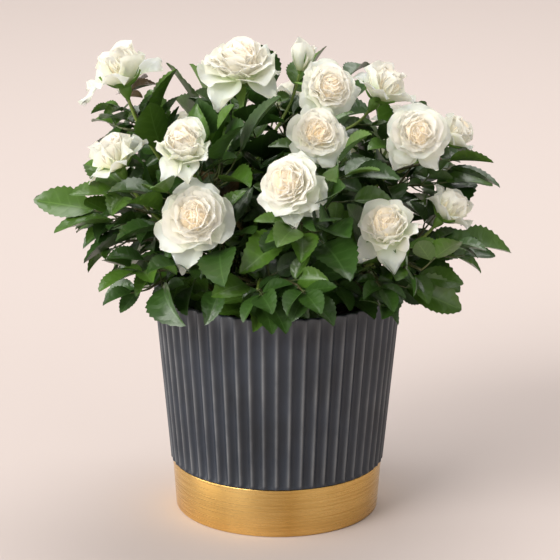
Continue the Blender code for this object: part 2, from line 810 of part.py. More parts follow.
class Grown:
    """What a mass has grown so far, so that its own leaves don't pass through one another."""

    def __init__(self, twigs):
        self.wood = np.array([spot for twig in twigs for spot in runs(twig, TWIG_RADIUS)])
        self.leaves, self.leaflets, self.petioles = [], [], []

    def blocks(self, leaflet):
        if hits_spots(leaflet, self.wood):
            return True
        spots = with_radius(leaflet_grid(leaflet))
        for other, taken in self.near(leaflet):
            if hits_spots(leaflet, taken) or hits_spots(other, spots):
                return True
        return any(hits_spots(leaflet, petiole) for petiole in self.petioles)

    def near(self, leaflet):
        node, heading, _, length = leaflet
        middle = node + heading * length / 2
        for other, taken in self.leaflets:
            if (other[0] + other[1] * other[3] / 2 - middle).length < 45 * MM:
                yield other, taken

    def blocks_petiole(self, leaf):
        spots = petiole_spots(leaf, 2)
        return any(hits_spots(other, spots) for other, _ in self.leaflets)

    def take(self, leaf):
        self.leaves.append(leaf)
        self.leaflets += [(leaflet, with_radius(leaflet_grid(leaflet))) for leaflet in leaf[1]]
        self.petioles.append(petiole_spots(leaf))

    def widen(self, leaf, leaflet):
        leaf[1].append(leaflet)
        self.leaflets.append((leaflet, with_radius(leaflet_grid(leaflet))))


def with_radius(points, radius=0.2 * MM):
    return np.pad(points, ((0, 0), (0, 1)), constant_values=radius)


def grow_twigs(mass, stem, space):
    """The leafy twigs of a mass: those toward its outline, and the seeded ones that have room."""
    twigs = [twig for aim in OUTLINE_LEAVES.get(mass, []) if (twig := outline_twig(stem, aim))]
    for index in range(SIDE_TWIGS):
        for attempt in range(TRIES):
            chance = random.Random(f"{mass} twig {index} {attempt}")
            twig = side_twig(stem, index, chance)
            if space.takes_twig(mass, twig[1:]):
                twigs.append(twig)
                break
    return twigs


def fits(mass, leaflet, grown, space, anywhere):
    inside = anywhere or in_crown(leaflet_grid(leaflet))
    return inside and space.takes_leaflet(mass, leaflet) and not grown.blocks(leaflet)


def fitted(mass, leaf, grown, space, anywhere=False):
    """A leaf with only the leaflets that there is room for, or None."""
    foot, leaflets = leaf
    if not fits(mass, leaflets[0], grown, space, anywhere) or grown.blocks_petiole(leaf):
        return None
    if distance_to(petiole_spots(leaf, 2)[:, :3], space.limbs).min() < CLEARANCE:
        return None
    more = [l for l in leaflets[1:] if fits(mass, l, grown, space, anywhere)]
    return foot, [leaflets[0], *more]


def fullest(mass, leaves, grown, space):
    """The first of these leaves to keep four leaflets, or else the one that keeps the most."""
    best = None
    for leaf in leaves:
        leaf = fitted(mass, leaf, grown, space)
        if leaf and (best is None or len(leaf[1]) > len(best[1])):
            best = leaf
        if best and len(best[1]) >= 4:
            break
    return best


def grow_outline_leaves(mass, stem, grown, space):
    """First the terminal leaflet of each, so that it reaches its place, then the others."""
    whole = []
    for index, aim in enumerate(OUTLINE_LEAVES.get(mass, [])):
        twig = outline_twig(stem, aim)
        chance = random.Random(f"{mass} outline {index}")
        for _ in range(TRIES):
            share = aim[0] + chance.uniform(-0.12, 0.12)
            foot = twig[-1] if twig else point_along(stem, share)[0]
            leaf = outline_leaf(foot, aim, chance)
            tip_only = fitted(mass, (foot, leaf[1][:1]), grown, space, True)
            if tip_only:
                grown.take(tip_only)
                whole.append((tip_only, leaf))
                break
        else:
            print("  no room:", mass, aim)
    for tip_only, (_, leaflets) in whole:
        for leaflet in leaflets[1:]:
            if fits(mass, leaflet, grown, space, True):
                grown.widen(tip_only, leaflet)


def grow_leaves(mass, stem, forks, twigs, space):
    """Every compound leaf of a mass: the outline's, then those of the seeded rule."""
    grown = Grown([stem, *forks, *twigs])
    grow_outline_leaves(mass, stem, grown, space)
    leafy = [(stem, 0.05, 0.8 if BLOOMS[mass] else 1)]
    leafy += [(fork, 0.25, 0.8) for fork in forks] + [(twig, 0.3, 1) for twig in twigs]
    for number, (twig, first, last) in enumerate(leafy):
        for index, share in enumerate(leaf_places(twig, first, last)):
            chance = random.Random(f"{mass} {number} leaf {index}")
            leaves = (twig_leaf(twig, share, index, attempt, chance) for attempt in range(TRIES))
            leaf = fullest(mass, leaves, grown, space)
            if leaf:
                grown.take(leaf)
    return grown.leaves


def make_mass(mass, stem, forks, space, materials, collection):
    """One node of foliage: stem, forks, twigs, leaves and blooms in one solid."""
    bark, leaf_green, petal = materials
    pieces = bpy.data.collections.new(mass + "_pieces")
    bpy.context.scene.collection.children.link(pieces)
    name = "foliage_" + mass
    base = limb(name, stem, taper(STEM_RADIUS, TIP_RADIUS, len(stem)), 3, bark, collection)
    twigs = grow_twigs(mass, stem, space)
    leaves = grow_leaves(mass, stem, forks, twigs, space)
    feet = np.array([foot for foot, _ in leaves])
    twigs = [twig for twig in twigs if distance_to(feet, np.array(runs(twig, 0)[3:])).min() < 1 * MM]
    for index, twig in enumerate([*forks, *twigs]):
        radii = taper(TWIG_RADIUS, TIP_RADIUS, len(twig))
        limb(f"{mass}_twig_{index}", twig, radii, 3, bark, pieces)
    for index, leaf in enumerate(leaves):
        leaf_blade(f"{mass}_leaf_{index}", leaf, leaf_green, pieces)
    for index, bloom in enumerate(BLOOMS[mass]):
        bloom_body(f"{mass}_bloom_{index}", bloom, petal, pieces)
        for number in range(bloom[-1]):
            petal_blade(f"{mass}_petal_{index}_{number}", bloom, bloom[1] + number * 2.2, petal, pieces)
    join(base, pieces)
    count = sum(len(leaflets) for _, leaflets in leaves)
    print(f"{name}: {len(twigs)} twigs, {len(leaves)} leaves, {count} leaflets")
    return count


def principled(name, colour, roughness, metallic=0.0):
    material = bpy.data.materials.new(name)
    material.use_nodes = True
    shader = material.node_tree.nodes["Principled BSDF"]
    shader.inputs["Base Color"].default_value = (*colour, 1)
    shader.inputs["Roughness"].default_value = roughness
    shader.inputs["Metallic"].default_value = metallic
    return material


def twig_section():
    """The three-sided section that twigs and rachises are swept with."""
    curve = bpy.data.curves.new("twig_section", "CURVE")
    curve.dimensions = "2D"
    spline = curve.splines.new("POLY")
    spline.points.add(2)
    spline.use_cyclic_u = True
    for index, knot in enumerate(spline.points):
        angle = -index * 2 * math.pi / 3
        knot.co = (math.cos(angle), math.sin(angle), 0, 1)
    return bpy.data.objects.new("twig_section", curve)


def main():
    for obj in list(bpy.data.objects):
        bpy.data.objects.remove(obj)
    bush = bpy.data.collections.new("rose_bush")
    helpers = bpy.data.collections.new("cutters")
    for collection in (bush, helpers):
        bpy.context.scene.collection.children.link(collection)
    section = link(twig_section(), helpers)
    section.hide_render = True

    slate = principled("slate_glaze", (0.07, 0.075, 0.085), 0.5)
    gold = principled("brushed_gold", (0.78, 0.52, 0.19), 0.32, 1.0)
    brown = principled("compost", (0.03, 0.02, 0.014), 0.95)
    bark = principled("green_bark", (0.09, 0.15, 0.035), 0.5)
    leaf_green = principled("leaf", (0.018, 0.085, 0.022), 0.35)
    petal = principled("petal", (0.86, 0.83, 0.72), 0.5)

    _, inner_rim, slope = make_pot(slate, bush, helpers)
    for obj in list(helpers.objects):
        if obj is not section:
            bpy.data.objects.remove(obj)
    make_band(gold, bush)
    make_compost(brown, inner_rim, slope, bush)

    limbs, stems = grow_lines()
    make_limbs(limbs, bark, bush)
    forks = {mass: bloom_twigs(mass, stem) for mass, stem in stems.items()}
    space = Space(limbs, stems, forks)
    total = 0
    for mass, stem in stems.items():
        total += make_mass(mass, stem, forks[mass], space, (bark, leaf_green, petal), bush)
    print(total, "leaflets")


main()
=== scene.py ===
# %% [markdown]
# # A miniature rose bush in its fluted pot
#
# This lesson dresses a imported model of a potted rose. The model gives plain solids: a pot with
# a gold band, compost, six canes, fifteen boughs and twenty-one masses of foliage. Here each of
# them gets the shape and the finish of the real thing, in the same place and at the same size.

import math
import random

import bmesh
import bpy
import numpy as np
from mathutils import Matrix, Vector, noise
from mathutils.geometry import interpolate_bezier


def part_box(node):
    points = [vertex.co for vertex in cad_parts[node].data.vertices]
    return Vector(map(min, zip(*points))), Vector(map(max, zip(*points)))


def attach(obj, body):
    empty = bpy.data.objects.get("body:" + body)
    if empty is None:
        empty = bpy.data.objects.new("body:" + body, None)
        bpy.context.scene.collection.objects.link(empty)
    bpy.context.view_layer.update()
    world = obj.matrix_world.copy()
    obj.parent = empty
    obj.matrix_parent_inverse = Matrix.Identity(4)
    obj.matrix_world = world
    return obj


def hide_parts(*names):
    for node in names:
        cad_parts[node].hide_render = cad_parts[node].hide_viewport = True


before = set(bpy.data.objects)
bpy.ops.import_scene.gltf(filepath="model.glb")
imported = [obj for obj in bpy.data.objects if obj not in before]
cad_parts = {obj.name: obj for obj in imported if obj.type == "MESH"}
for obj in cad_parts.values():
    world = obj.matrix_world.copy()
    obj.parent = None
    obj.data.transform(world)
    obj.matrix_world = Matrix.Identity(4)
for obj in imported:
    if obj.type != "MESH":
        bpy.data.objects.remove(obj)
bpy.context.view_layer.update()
MM = 0.001
UP = Vector((0, 0, 1))

# %% [markdown]
# Every piece is finished in the same way. Its mesh holds its place, so the object stays at the
# origin, and it rides on the model's one body. The solids that it stands for are hidden. A
# helper does this once for all of them.

# %% A helper for finished pieces
CANES = [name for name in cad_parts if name.startswith("cane_")]
BOUGHS = [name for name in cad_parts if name.startswith("bough_")]
FOLIAGE = [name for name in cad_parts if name.startswith("foliage_")]


def dressed(name, mesh, materials, nodes):
    """A piece in place of the solids that it stands for."""
    mesh.shade_smooth()
    mesh.materials.clear()
    for material in materials:
        mesh.materials.append(material)
    piece = bpy.data.objects.new(name, mesh)
    bpy.context.scene.collection.objects.link(piece)
    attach(piece, "root")
    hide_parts(*nodes)
    mesh.calc_loop_triangles()
    print(f"{name}: {len(mesh.loop_triangles)} triangles")
    return piece


def mesh_from(name, bm):
    mesh = bpy.data.meshes.new(name)
    bm.to_mesh(mesh)
    bm.free()
    return mesh


print(len(CANES), "canes,", len(BOUGHS), "boughs,", len(FOLIAGE), "masses of foliage")

# %% [markdown]
# The camera comes early, since every later choice of detail depends on what it sees. A long
# lens from a little above keeps the pot's sides nearly parallel. The turn is built from the
# way that the camera looks, its right and its up, so that each angle can be read by itself.

# %% The camera
CAMERA_PLACE = Vector((0, -1.6, 0.616))
LOOK_DOWN, LOOK_RIGHT, ROLL = math.radians(16.82), 0.000773, math.radians(0.28)
LENS = 191.3  # on a sensor 36 mm wide

look = Vector(
    (
        math.sin(LOOK_RIGHT) * math.cos(LOOK_DOWN),
        math.cos(LOOK_RIGHT) * math.cos(LOOK_DOWN),
        -math.sin(LOOK_DOWN),
    )
)
level = Vector((math.cos(LOOK_RIGHT), -math.sin(LOOK_RIGHT), 0))
turn = Matrix.Rotation(-ROLL, 3, look)
right = turn @ level
camera = bpy.data.objects.new("camera", bpy.data.cameras.new("camera"))
camera.data.lens = LENS
camera.data.sensor_width = 36
camera.data.clip_end = 30
camera.matrix_world = Matrix((right, right.cross(look), -look)).transposed().to_4x4()
camera.location = CAMERA_PLACE
bpy.context.scene.collection.objects.link(camera)
bpy.context.scene.camera = camera
print("camera at", tuple(CAMERA_PLACE), "lens", LENS)

# %% [markdown]
# The studio is a plain pale floor under soft light. A wide sun at the front left is the key,
# so the right of the bush falls gently into shade. A lamp on the left lays a sheen on the pot
# and its band, a weak one fills the shade from the right, and one above and behind the bush
# draws a thin light line round the petals.

# %% The floor and the lights
FLOOR_SIDE = 16.0
FLOOR_COLOUR = (0.59, 0.51, 0.48, 1)
LAMP_AIM = Vector((0, 0, 0.15))  # the middle of the bush
KEY_PLACE, KEY_STRENGTH, KEY_SPREAD = (-1.3, -1.25, 1.3), 2.6, 0.6
AREA_LAMPS = {  # place, side and power
    "side_lamp": ((-1.9, -0.3, 0.6), 1.2, 25),
    "fill_lamp": ((1.3, -1.7, 0.9), 1.5, 7),
    "top_lamp": ((0.2, 0.8, 1.8), 1.3, 24),
}
KEY_LIGHT, LAMP_LIGHT, ROOM_LIGHT = (1, 0.975, 0.94), (1, 0.985, 0.965), (1, 0.97, 0.94, 1)
ROOM_STRENGTH = 0.35

bm = bmesh.new()
bmesh.ops.create_grid(bm, x_segments=1, y_segments=1, size=FLOOR_SIDE / 2)
floor = bpy.data.objects.new("floor", mesh_from("floor", bm))
bpy.context.scene.collection.objects.link(floor)
floor_paint = bpy.data.materials.new("floor_paint")
floor_paint.use_nodes = True
floor_shader = floor_paint.node_tree.nodes["Principled BSDF"]
floor_shader.inputs["Base Color"].default_value = FLOOR_COLOUR
floor_shader.inputs["Roughness"].default_value = 0.9
floor.data.materials.append(floor_paint)


def stand_lamp(lamp, place, strength, colour):
    """The lamp in its place, turned towards the middle of the bush."""
    lamp.energy, lamp.color = strength, colour
    stand = bpy.data.objects.new(lamp.name, lamp)
    aim = LAMP_AIM - Vector(place)
    stand.matrix_world = Matrix.Translation(place) @ aim.to_track_quat("-Z", "Y").to_matrix().to_4x4()
    bpy.context.scene.collection.objects.link(stand)


key_lamp = bpy.data.lights.new("key_lamp", "SUN")
key_lamp.angle = KEY_SPREAD
stand_lamp(key_lamp, KEY_PLACE, KEY_STRENGTH, KEY_LIGHT)
for name, (place, size, watts) in AREA_LAMPS.items():
    lamp = bpy.data.lights.new(name, "AREA")
    lamp.size = size
    stand_lamp(lamp, place, watts, LAMP_LIGHT)
world = bpy.data.worlds.new("studio")
world.use_nodes = True
room = world.node_tree.nodes["Background"]
room.inputs["Color"].default_value = ROOM_LIGHT
room.inputs["Strength"].default_value = ROOM_STRENGTH
bpy.context.scene.world = world
bpy.context.scene.view_settings.view_transform = "Standard"

# %% [markdown]
# Colours are easiest to name as a screen shows them, from 0 to 255, but shaders work with
# light. One small helper turns the first into the second. Three more shorten the steps that
# every material takes: a new node group, a sum of two values, and a mix of two colours.


# %% Colours and nodes
def paint(red, green, blue):
    """A shader's colour from the one that a screen shows."""

    def light(share):
        return share / 12.92 if share <= 0.04045 else ((share + 0.055) / 1.055) ** 2.4

    return (*(light(value / 255) for value in (red, green, blue)), 1)


def new_group(name, inputs, outputs):
    """A shader node group with its sockets, and its two end nodes."""
    group = bpy.data.node_groups.new(name, "ShaderNodeTree")
    for label, kind in inputs:
        group.interface.new_socket(label, in_out="INPUT", socket_type="NodeSocket" + kind)
    for label, kind in outputs:
        group.interface.new_socket(label, in_out="OUTPUT", socket_type="NodeSocket" + kind)
    return group, group.nodes.new("NodeGroupInput"), group.nodes.new("NodeGroupOutput")


def maths(nodes, links, operation, *values):
    """A Math node, each of whose inputs is a socket or a number. Gives its output."""
    node = nodes.new("ShaderNodeMath")
    node.operation = operation
    for socket, value in zip(node.inputs, values):
        if isinstance(value, (int, float)):
            socket.default_value = value
        else:
            links.new(value, socket)
    return node.outputs[0]


def mixed(nodes, links, share, first, second):
    """A Mix node for two colours, each a socket or a colour. Gives its output."""
    node = nodes.new("ShaderNodeMix")
    node.data_type = "RGBA"
    for socket, value in zip((node.inputs["Factor"], node.inputs[6], node.inputs[7]), (share, first, second)):
        if isinstance(value, (int, float, tuple)):
            socket.default_value = value
        else:
            links.new(value, socket)
    return node.outputs[2]


print("a mid grey of 128 gives", round(paint(128, 128, 128)[0], 3), "of the light")

# %% [markdown]
# Two effects return in most of the finishes. *Mottle* mixes two colours by a soft noise, as
# on a leaf or a weathered glaze. *Grain* gives a fine height for the bump of a surface. Each
# is one node group, built once and placed in each material with values of its own.


# %% Shared effects
def make_mottle():
    group, given, result = new_group(
        "mottle",
        [
            ("Vector", "Vector"), ("Scale", "Float"), ("Contrast", "Float"),
            ("First", "Color"), ("Second", "Color"),
        ],
        [("Color", "Color"), ("Mask", "Float")],
    )
    nodes, links = group.nodes, group.links
    cloud = nodes.new("ShaderNodeTexNoise")
    cloud.inputs["Detail"].default_value = 4
    links.new(given.outputs["Vector"], cloud.inputs["Vector"])
    links.new(given.outputs["Scale"], cloud.inputs["Scale"])
    centred = maths(nodes, links, "SUBTRACT", cloud.outputs["Fac"], 0.5)
    spread = maths(nodes, links, "MULTIPLY", centred, given.outputs["Contrast"])
    lifted = maths(nodes, links, "ADD", spread, 0.5)
    mask = maths(nodes, links, "MINIMUM", maths(nodes, links, "MAXIMUM", lifted, 0.0), 1.0)
    blended = mixed(nodes, links, mask, given.outputs["First"], given.outputs["Second"])
    links.new(blended, result.inputs["Color"])
    links.new(mask, result.inputs["Mask"])
    return group


def make_grain():
    group, given, result = new_group(
        "grain", [("Vector", "Vector"), ("Scale", "Float"), ("Depth", "Float")], [("Height", "Float")]
    )
    nodes, links = group.nodes, group.links
    fine = nodes.new("ShaderNodeTexNoise")
    fine.inputs["Detail"].default_value = 6
    fine.inputs["Roughness"].default_value = 0.65
    links.new(given.outputs["Vector"], fine.inputs["Vector"])
    links.new(given.outputs["Scale"], fine.inputs["Scale"])
    height = maths(nodes, links, "MULTIPLY", fine.outputs["Fac"], given.outputs["Depth"])
    links.new(height, result.inputs["Height"])
    return group


MOTTLE, GRAIN = make_mottle(), make_grain()
print("groups:", MOTTLE.name, GRAIN.name)

# %% [markdown]
# A material starts from the same few nodes each time: the Principled shader, the object's own
# coordinates, the two groups and a Bump node. This helper lays them out and hands back what
# each finish then joins up in its own way. Plain numbers go straight onto the shader.


# %% A helper for materials
def placed(nodes, group):
    node = nodes.new("ShaderNodeGroup")
    node.node_tree = group
    return node


def stretched(nodes, links, coordinates, scale):
    """The coordinates drawn out along some axes."""
    mapping = nodes.new("ShaderNodeMapping")
    mapping.inputs["Scale"].default_value = scale
    links.new(coordinates, mapping.inputs["Vector"])
    return mapping.outputs["Vector"]


def finish(name, first, second, scale, contrast, grain, bump, settings, stretch=(1, 1, 1)):
    """A material of two mottled colours with a fine bump. Gives it and its main nodes."""
    material = bpy.data.materials.new(name)
    material.use_nodes = True
    nodes, links = material.node_tree.nodes, material.node_tree.links
    shader = nodes["Principled BSDF"]
    for label, value in settings.items():
        shader.inputs[label].default_value = value
    own = nodes.new("ShaderNodeTexCoord").outputs["Object"]
    own = stretched(nodes, links, own, stretch)
    mottle, fine, raised = placed(nodes, MOTTLE), placed(nodes, GRAIN), nodes.new("ShaderNodeBump")
    mottle.inputs["Scale"].default_value = scale
    mottle.inputs["Contrast"].default_value = contrast
    mottle.inputs["First"].default_value = first
    mottle.inputs["Second"].default_value = second
    fine.inputs["Scale"].default_value = grain
    fine.inputs["Depth"].default_value = 1
    raised.inputs["Distance"].default_value = bump
    links.new(own, mottle.inputs["Vector"])
    links.new(own, fine.inputs["Vector"])
    links.new(fine.outputs["Height"], raised.inputs["Height"])
    links.new(raised.outputs["Normal"], shader.inputs["Normal"])
    links.new(mottle.outputs["Color"], shader.inputs["Base Color"])
    return material, nodes, links, shader, mottle, raised


print("finish() lays out a mottled material")

# %% [markdown]
# ## The pot
#
# Pot, band and compost are all turned round one axis, as on a potter's wheel. A profile of
# (radius, height) corners is spun into a skin, and a ring of its edges can be found again by
# its place, for a bevel.


# %% Turning on the wheel
def turned(bm, profile, steps, closed=False):
    """The profile's (radius, height) corners spun into a closed skin."""
    corners = [bm.verts.new((radius, 0, height)) for radius, height in profile]
    pairs = list(zip(corners, corners[1:]))
    if closed:
        pairs.append((corners[-1], corners[0]))
    edges = [bm.edges.new(pair) for pair in pairs]
    bmesh.ops.spin(
        bm, geom=corners + edges, cent=(0, 0, 0), axis=(0, 0, 1),
        angle=2 * math.pi, steps=steps, use_merge=True,
    )
    bmesh.ops.remove_doubles(bm, verts=bm.verts, dist=1e-7)
    bmesh.ops.recalc_face_normals(bm, faces=bm.faces)


def bevelled(bm, radius, height, width, segments):
    """Eases the ring of edges at that radius and height."""

    def on_ring(vert):
        return abs(vert.co.xy.length - radius) < 1e-5 and abs(vert.co.z - height) < 1e-5

    ring = [edge for edge in bm.edges if on_ring(edge.verts[0]) and on_ring(edge.verts[1])]
    bmesh.ops.bevel(
        bm, geom=ring, offset=width * MM, segments=segments, affect="EDGES", profile=0.5, material=-1
    )


def steps_between(low, high, count):
    """Corners of a profile at even steps from low up to high."""
    return [tuple(np.array(low) + (np.array(high) - low) * i / count) for i in range(count + 1)]


print("turned() spins a profile, bevelled() eases a ring of its edges")

# %% [markdown]
# The pot is stoneware, cast with 56 flutes and glazed slate grey. Its closed profile holds
# spigot, wall, rim and hollow in one piece. Each flute takes twelve steps of the turn. The
# rim's edges are bevelled before the flutes are pressed in, so that its top stays flat and
# only its outer edge is scalloped.

# %% The pot's turned wall
POT_HEIGHT = 130 * MM
RIM_RADIUS = 69.8 * MM
WALL_FOOT = (60.4 * MM, 28.8 * MM)  # radius and height of the ribs' lower ends
WALL_THICKNESS = 4.8 * MM
FLUTE_FOOT = (60.62 * MM, 31.2 * MM)  # up to here the flutes fade out downwards
SPIGOT = ((55.6 * MM, 0), (57.7 * MM, 28.8 * MM))
CAVITY_FOOT = (56.4 * MM, 5 * MM)
RIBS, STEPS_PER_RIB = 56, 12
FLUTE_DEPTH = 2.0 * MM
RIDGE_SHARE = 0.05  # of a flute's pitch on each side of its ridge that stays proud

rim_outer, rim_inner = (RIM_RADIUS, POT_HEIGHT), (RIM_RADIUS - WALL_THICKNESS, POT_HEIGHT)
pot = bmesh.new()
wall_line = [(0, SPIGOT[0][1]), *SPIGOT, WALL_FOOT, *steps_between(FLUTE_FOOT, rim_outer, 8)]
profile = [*wall_line, rim_inner, CAVITY_FOOT, (0, CAVITY_FOOT[1])]
turned(pot, profile, RIBS * STEPS_PER_RIB)
# ring, width of its bevel in millimetres, and segments
POT_EDGES = ((rim_outer, 0.9, 3), (rim_inner, 1.2, 3), (WALL_FOOT, 0.5, 2), (SPIGOT[0], 0.5, 2))
for ring, width, segments in POT_EDGES:
    bevelled(pot, *ring, width, segments)
print("pot wall:", len(pot.faces), "faces before its flutes")

# %% [markdown]
# Between two ridges the wall is a shallow round hollow. How far a point is drawn in depends
# only on its angle, and on whether it is on the outside. The same number, turned round, is
# kept as an attribute: the material paints the ridges paler by it, partly as worn glaze and
# partly as a painted highlight along their crests.

# %% The flutes
SKIN_DEPTH, SKIN_FADE = 2.6 * MM, 1.4 * MM  # how deep the pressed skin goes, and how softly it ends
FOOT_SHARE = 0.3  # of the flutes' depth is left right above the spigot
RIM_EDGE, RIM_HIGHLIGHT = 1.2 * MM, 0.8  # how low the painted highlight on the rim's edge comes, and how bright it is painted

worn = pot.verts.layers.float.new("worn")
wall_slope = (RIM_RADIUS - WALL_FOOT[0]) / (POT_HEIGHT - WALL_FOOT[1])
for vert in pot.verts:
    radius = vert.co.xy.length
    outer = WALL_FOOT[0] + (vert.co.z - WALL_FOOT[1]) * wall_slope
    outside = min(1, max(0, (radius - outer + SKIN_DEPTH) / SKIN_FADE))
    if outside == 0 or vert.co.z < WALL_FOOT[1] - 0.01 * MM:
        continue
    risen = (vert.co.z - WALL_FOOT[1]) / (FLUTE_FOOT[1] - WALL_FOOT[1])
    outside *= min(1, FOOT_SHARE + (1 - FOOT_SHARE) * risen)
    share = (math.atan2(vert.co.y, vert.co.x) / (2 * math.pi) * RIBS + 0.5 / STEPS_PER_RIB) % 1
    from_middle = abs(share - 0.5) / (0.5 - RIDGE_SHARE)
    hollow = max(0, 1 - from_middle**2)
    vert.co.xy *= (radius - FLUTE_DEPTH * hollow * outside) / radius
    vert[worn] = (1 - hollow) * outside
    # The rim's outer edge is painted pale: a painted highlight where light would catch it.
    if vert.co.z > POT_HEIGHT - RIM_EDGE:
        vert[worn] = RIM_HIGHLIGHT * outside
print(FLUTE_DEPTH / MM, "mm deep flutes,", RIBS, "of them")

# %% [markdown]
# The glaze is slate grey and slightly mottled. Along the ridges it is painted a paler grey,
# partly worn glaze and partly a painted highlight, and the rim's edge carries a painted
# highlight too. This is not even: a second mottle breaks it up into patches, and a power keeps
# it to the very crest of each ridge.

# %% The slate glaze
# A paler grey painted on the ridges and the rim's edge: partly worn glaze, partly a painted highlight.
WEAR_AND_SHEEN_GREY = paint(128, 130, 132)
WEAR_AND_SHEEN_MOST = 0.62  # how much paler the glaze is painted where wear and painted highlight are strongest
WEAR_AND_SHEEN_POWER = 2.6  # the higher, the nearer to the crest the pale wear and painted highlight keep
WEAR_AND_SHEEN_LEAST = 0.4  # of the pale wear and painted highlight is left between the patches

slate, nodes, links, shader, mottle, raised = finish(
    "slate_glaze_finish", paint(25, 31, 39), paint(39, 46, 57),
    scale=38, contrast=2.4, grain=900, bump=0.05 * MM,
    settings={"Roughness": 0.42, "Specular IOR Level": 0.42, "Coat Weight": 0.12, "Coat Roughness": 0.25},
)
ridge = nodes.new("ShaderNodeAttribute")
ridge.attribute_name = "worn"
wear_and_sheen_patches = placed(nodes, MOTTLE)
wear_and_sheen_patches.inputs["Scale"].default_value = 45
wear_and_sheen_patches.inputs["Contrast"].default_value = 3.0
links.new(mottle.inputs["Vector"].links[0].from_socket, wear_and_sheen_patches.inputs["Vector"])
patches = maths(nodes, links, "MULTIPLY", wear_and_sheen_patches.outputs["Mask"], 1 - WEAR_AND_SHEEN_LEAST)
patchy = maths(nodes, links, "ADD", patches, WEAR_AND_SHEEN_LEAST)
# The crests of the ridges are painted paler: wear and a painted highlight together.
wear_and_sheen_here = maths(nodes, links, "POWER", ridge.outputs["Fac"], WEAR_AND_SHEEN_POWER)
pale = maths(nodes, links, "MULTIPLY", maths(nodes, links, "MULTIPLY", wear_and_sheen_here, patchy), WEAR_AND_SHEEN_MOST)
glazed = mixed(nodes, links, pale, mottle.outputs["Color"], WEAR_AND_SHEEN_GREY)
links.new(glazed, shader.inputs["Base Color"])
dressed("pot_body", mesh_from("pot_body", pot), [slate], ["pot"])
print("slate glaze, worn pale along", RIBS, "ridges")

# %% [markdown]
# Round the pot's foot sits a band of brushed brass. It is turned like the wall, from a narrow
# closed profile whose edges are eased.

# %% The band
BAND_HEIGHT = 28.5 * MM
BAND_TOP, BAND_FOOT, BAND_THICKNESS = 59.5 * MM, 57.4 * MM, 1.5 * MM

band = bmesh.new()
band_profile = [
    (BAND_TOP - BAND_THICKNESS, BAND_HEIGHT), (BAND_TOP, BAND_HEIGHT),
    (BAND_FOOT, 0), (BAND_FOOT - BAND_THICKNESS, 0),
]
turned(band, band_profile, 288, closed=True)
for ring, width in (((BAND_TOP, BAND_HEIGHT), 0.45), ((BAND_FOOT, 0), 1.1)):
    bevelled(band, *ring, width, 4)
print("band:", len(band.faces), "faces")

# %% [markdown]
# Brushing leaves fine lines that run round the band, so its streaks are a noise squeezed flat:
# drawn out sideways and crowded together upwards. They are rougher and a little darker than
# the brass between them. The highlight is drawn out across them, as on any brushed metal.
# Beneath them the brass itself is painted in light and dark upright bands round the band, a
# painted reflection of the studio.

# %% The brushed brass
SCRATCHED_BRASS = paint(178, 132, 60)
BRUSH_STRETCH = (1, 1, 38)  # crowds the lines together upwards
SMOOTH, ROUGHER = 0.22, 0.14  # roughness between the streaks, and how much they add to it
SCRATCHED = 0.4  # how much of the darker brass shows in a streak

# The two brasses mottle in tall upright bands round the band: a painted reflection, light and dark as the
# studio would lay on the metal.
brass, nodes, links, shader, mottle, raised = finish(
    "brushed_brass_finish", paint(252, 216, 142), paint(206, 162, 86),
    scale=16, contrast=2.6, grain=110, bump=0.02 * MM,
    settings={"Metallic": 1.0, "Roughness": 0.3, "Anisotropic": 0.8, "Anisotropic Rotation": 0.25},
    stretch=(1, 1, 0.2),
)
streak = placed(nodes, MOTTLE)
streak.inputs["Scale"].default_value = 30
streak.inputs["Contrast"].default_value = 3.2
coordinates = nodes.new("ShaderNodeTexCoord").outputs["Object"]
links.new(stretched(nodes, links, coordinates, BRUSH_STRETCH), streak.inputs["Vector"])
rougher = maths(nodes, links, "MULTIPLY", streak.outputs["Mask"], ROUGHER)
links.new(maths(nodes, links, "ADD", rougher, SMOOTH), shader.inputs["Roughness"])
scratches = maths(nodes, links, "MULTIPLY", streak.outputs["Mask"], SCRATCHED)
brushed = mixed(nodes, links, scratches, mottle.outputs["Color"], SCRATCHED_BRASS)
links.new(brushed, shader.inputs["Base Color"])
dressed("band_of_brushed_brass", mesh_from("band", band), [brass], ["gold_band"])

# %% [markdown]
# Compost fills the pot to about two centimetres below the rim. A flat disc would look like a
# lid, so the disc's rings are lifted by noise, and a few hundred crumbs of different sizes lie
# on it. Each crumb starts as a small ball that the same noise pulls out of round.

# %% The compost
COMPOST_TOP, COMPOST_LOW = 112 * MM, 5.3 * MM
COMPOST_FOOT_RADIUS = 53.0 * MM
CRUMBS = 420
COMPOST_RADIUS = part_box("compost")[1][0]

compost = bmesh.new()
rings = [(COMPOST_RADIUS * i / 26, COMPOST_TOP) for i in range(27)]
turned(compost, [*rings, (COMPOST_FOOT_RADIUS, COMPOST_LOW), (0, COMPOST_LOW)], 110)
for vert in compost.verts:
    if vert.co.z > COMPOST_TOP - MM:
        rim_share = vert.co.xy.length / COMPOST_RADIUS
        spot = vert.co.copy() * 90
        vert.co.z += (noise.noise(spot) * 1.5 + noise.noise(spot * 3.1) * 0.8 - rim_share**6) * MM
chance = random.Random("crumbs")
for _ in range(CRUMBS):
    angle, reach = chance.uniform(0, 2 * math.pi), COMPOST_RADIUS * 0.96 * math.sqrt(chance.random())
    size = chance.uniform(0.6, 1.9) * MM * (1.5 if chance.random() < 0.12 else 1)
    place = Vector((reach * math.cos(angle), reach * math.sin(angle), COMPOST_TOP + size * 0.3))
    crumb = bmesh.ops.create_icosphere(compost, subdivisions=2, radius=size)["verts"]
    for vert in crumb:
        vert.co *= 1 + 0.45 * noise.noise(vert.co / size * 1.3 + place * 400)
        vert.co.z *= 0.75
    bmesh.ops.translate(compost, verts=crumb, vec=place)
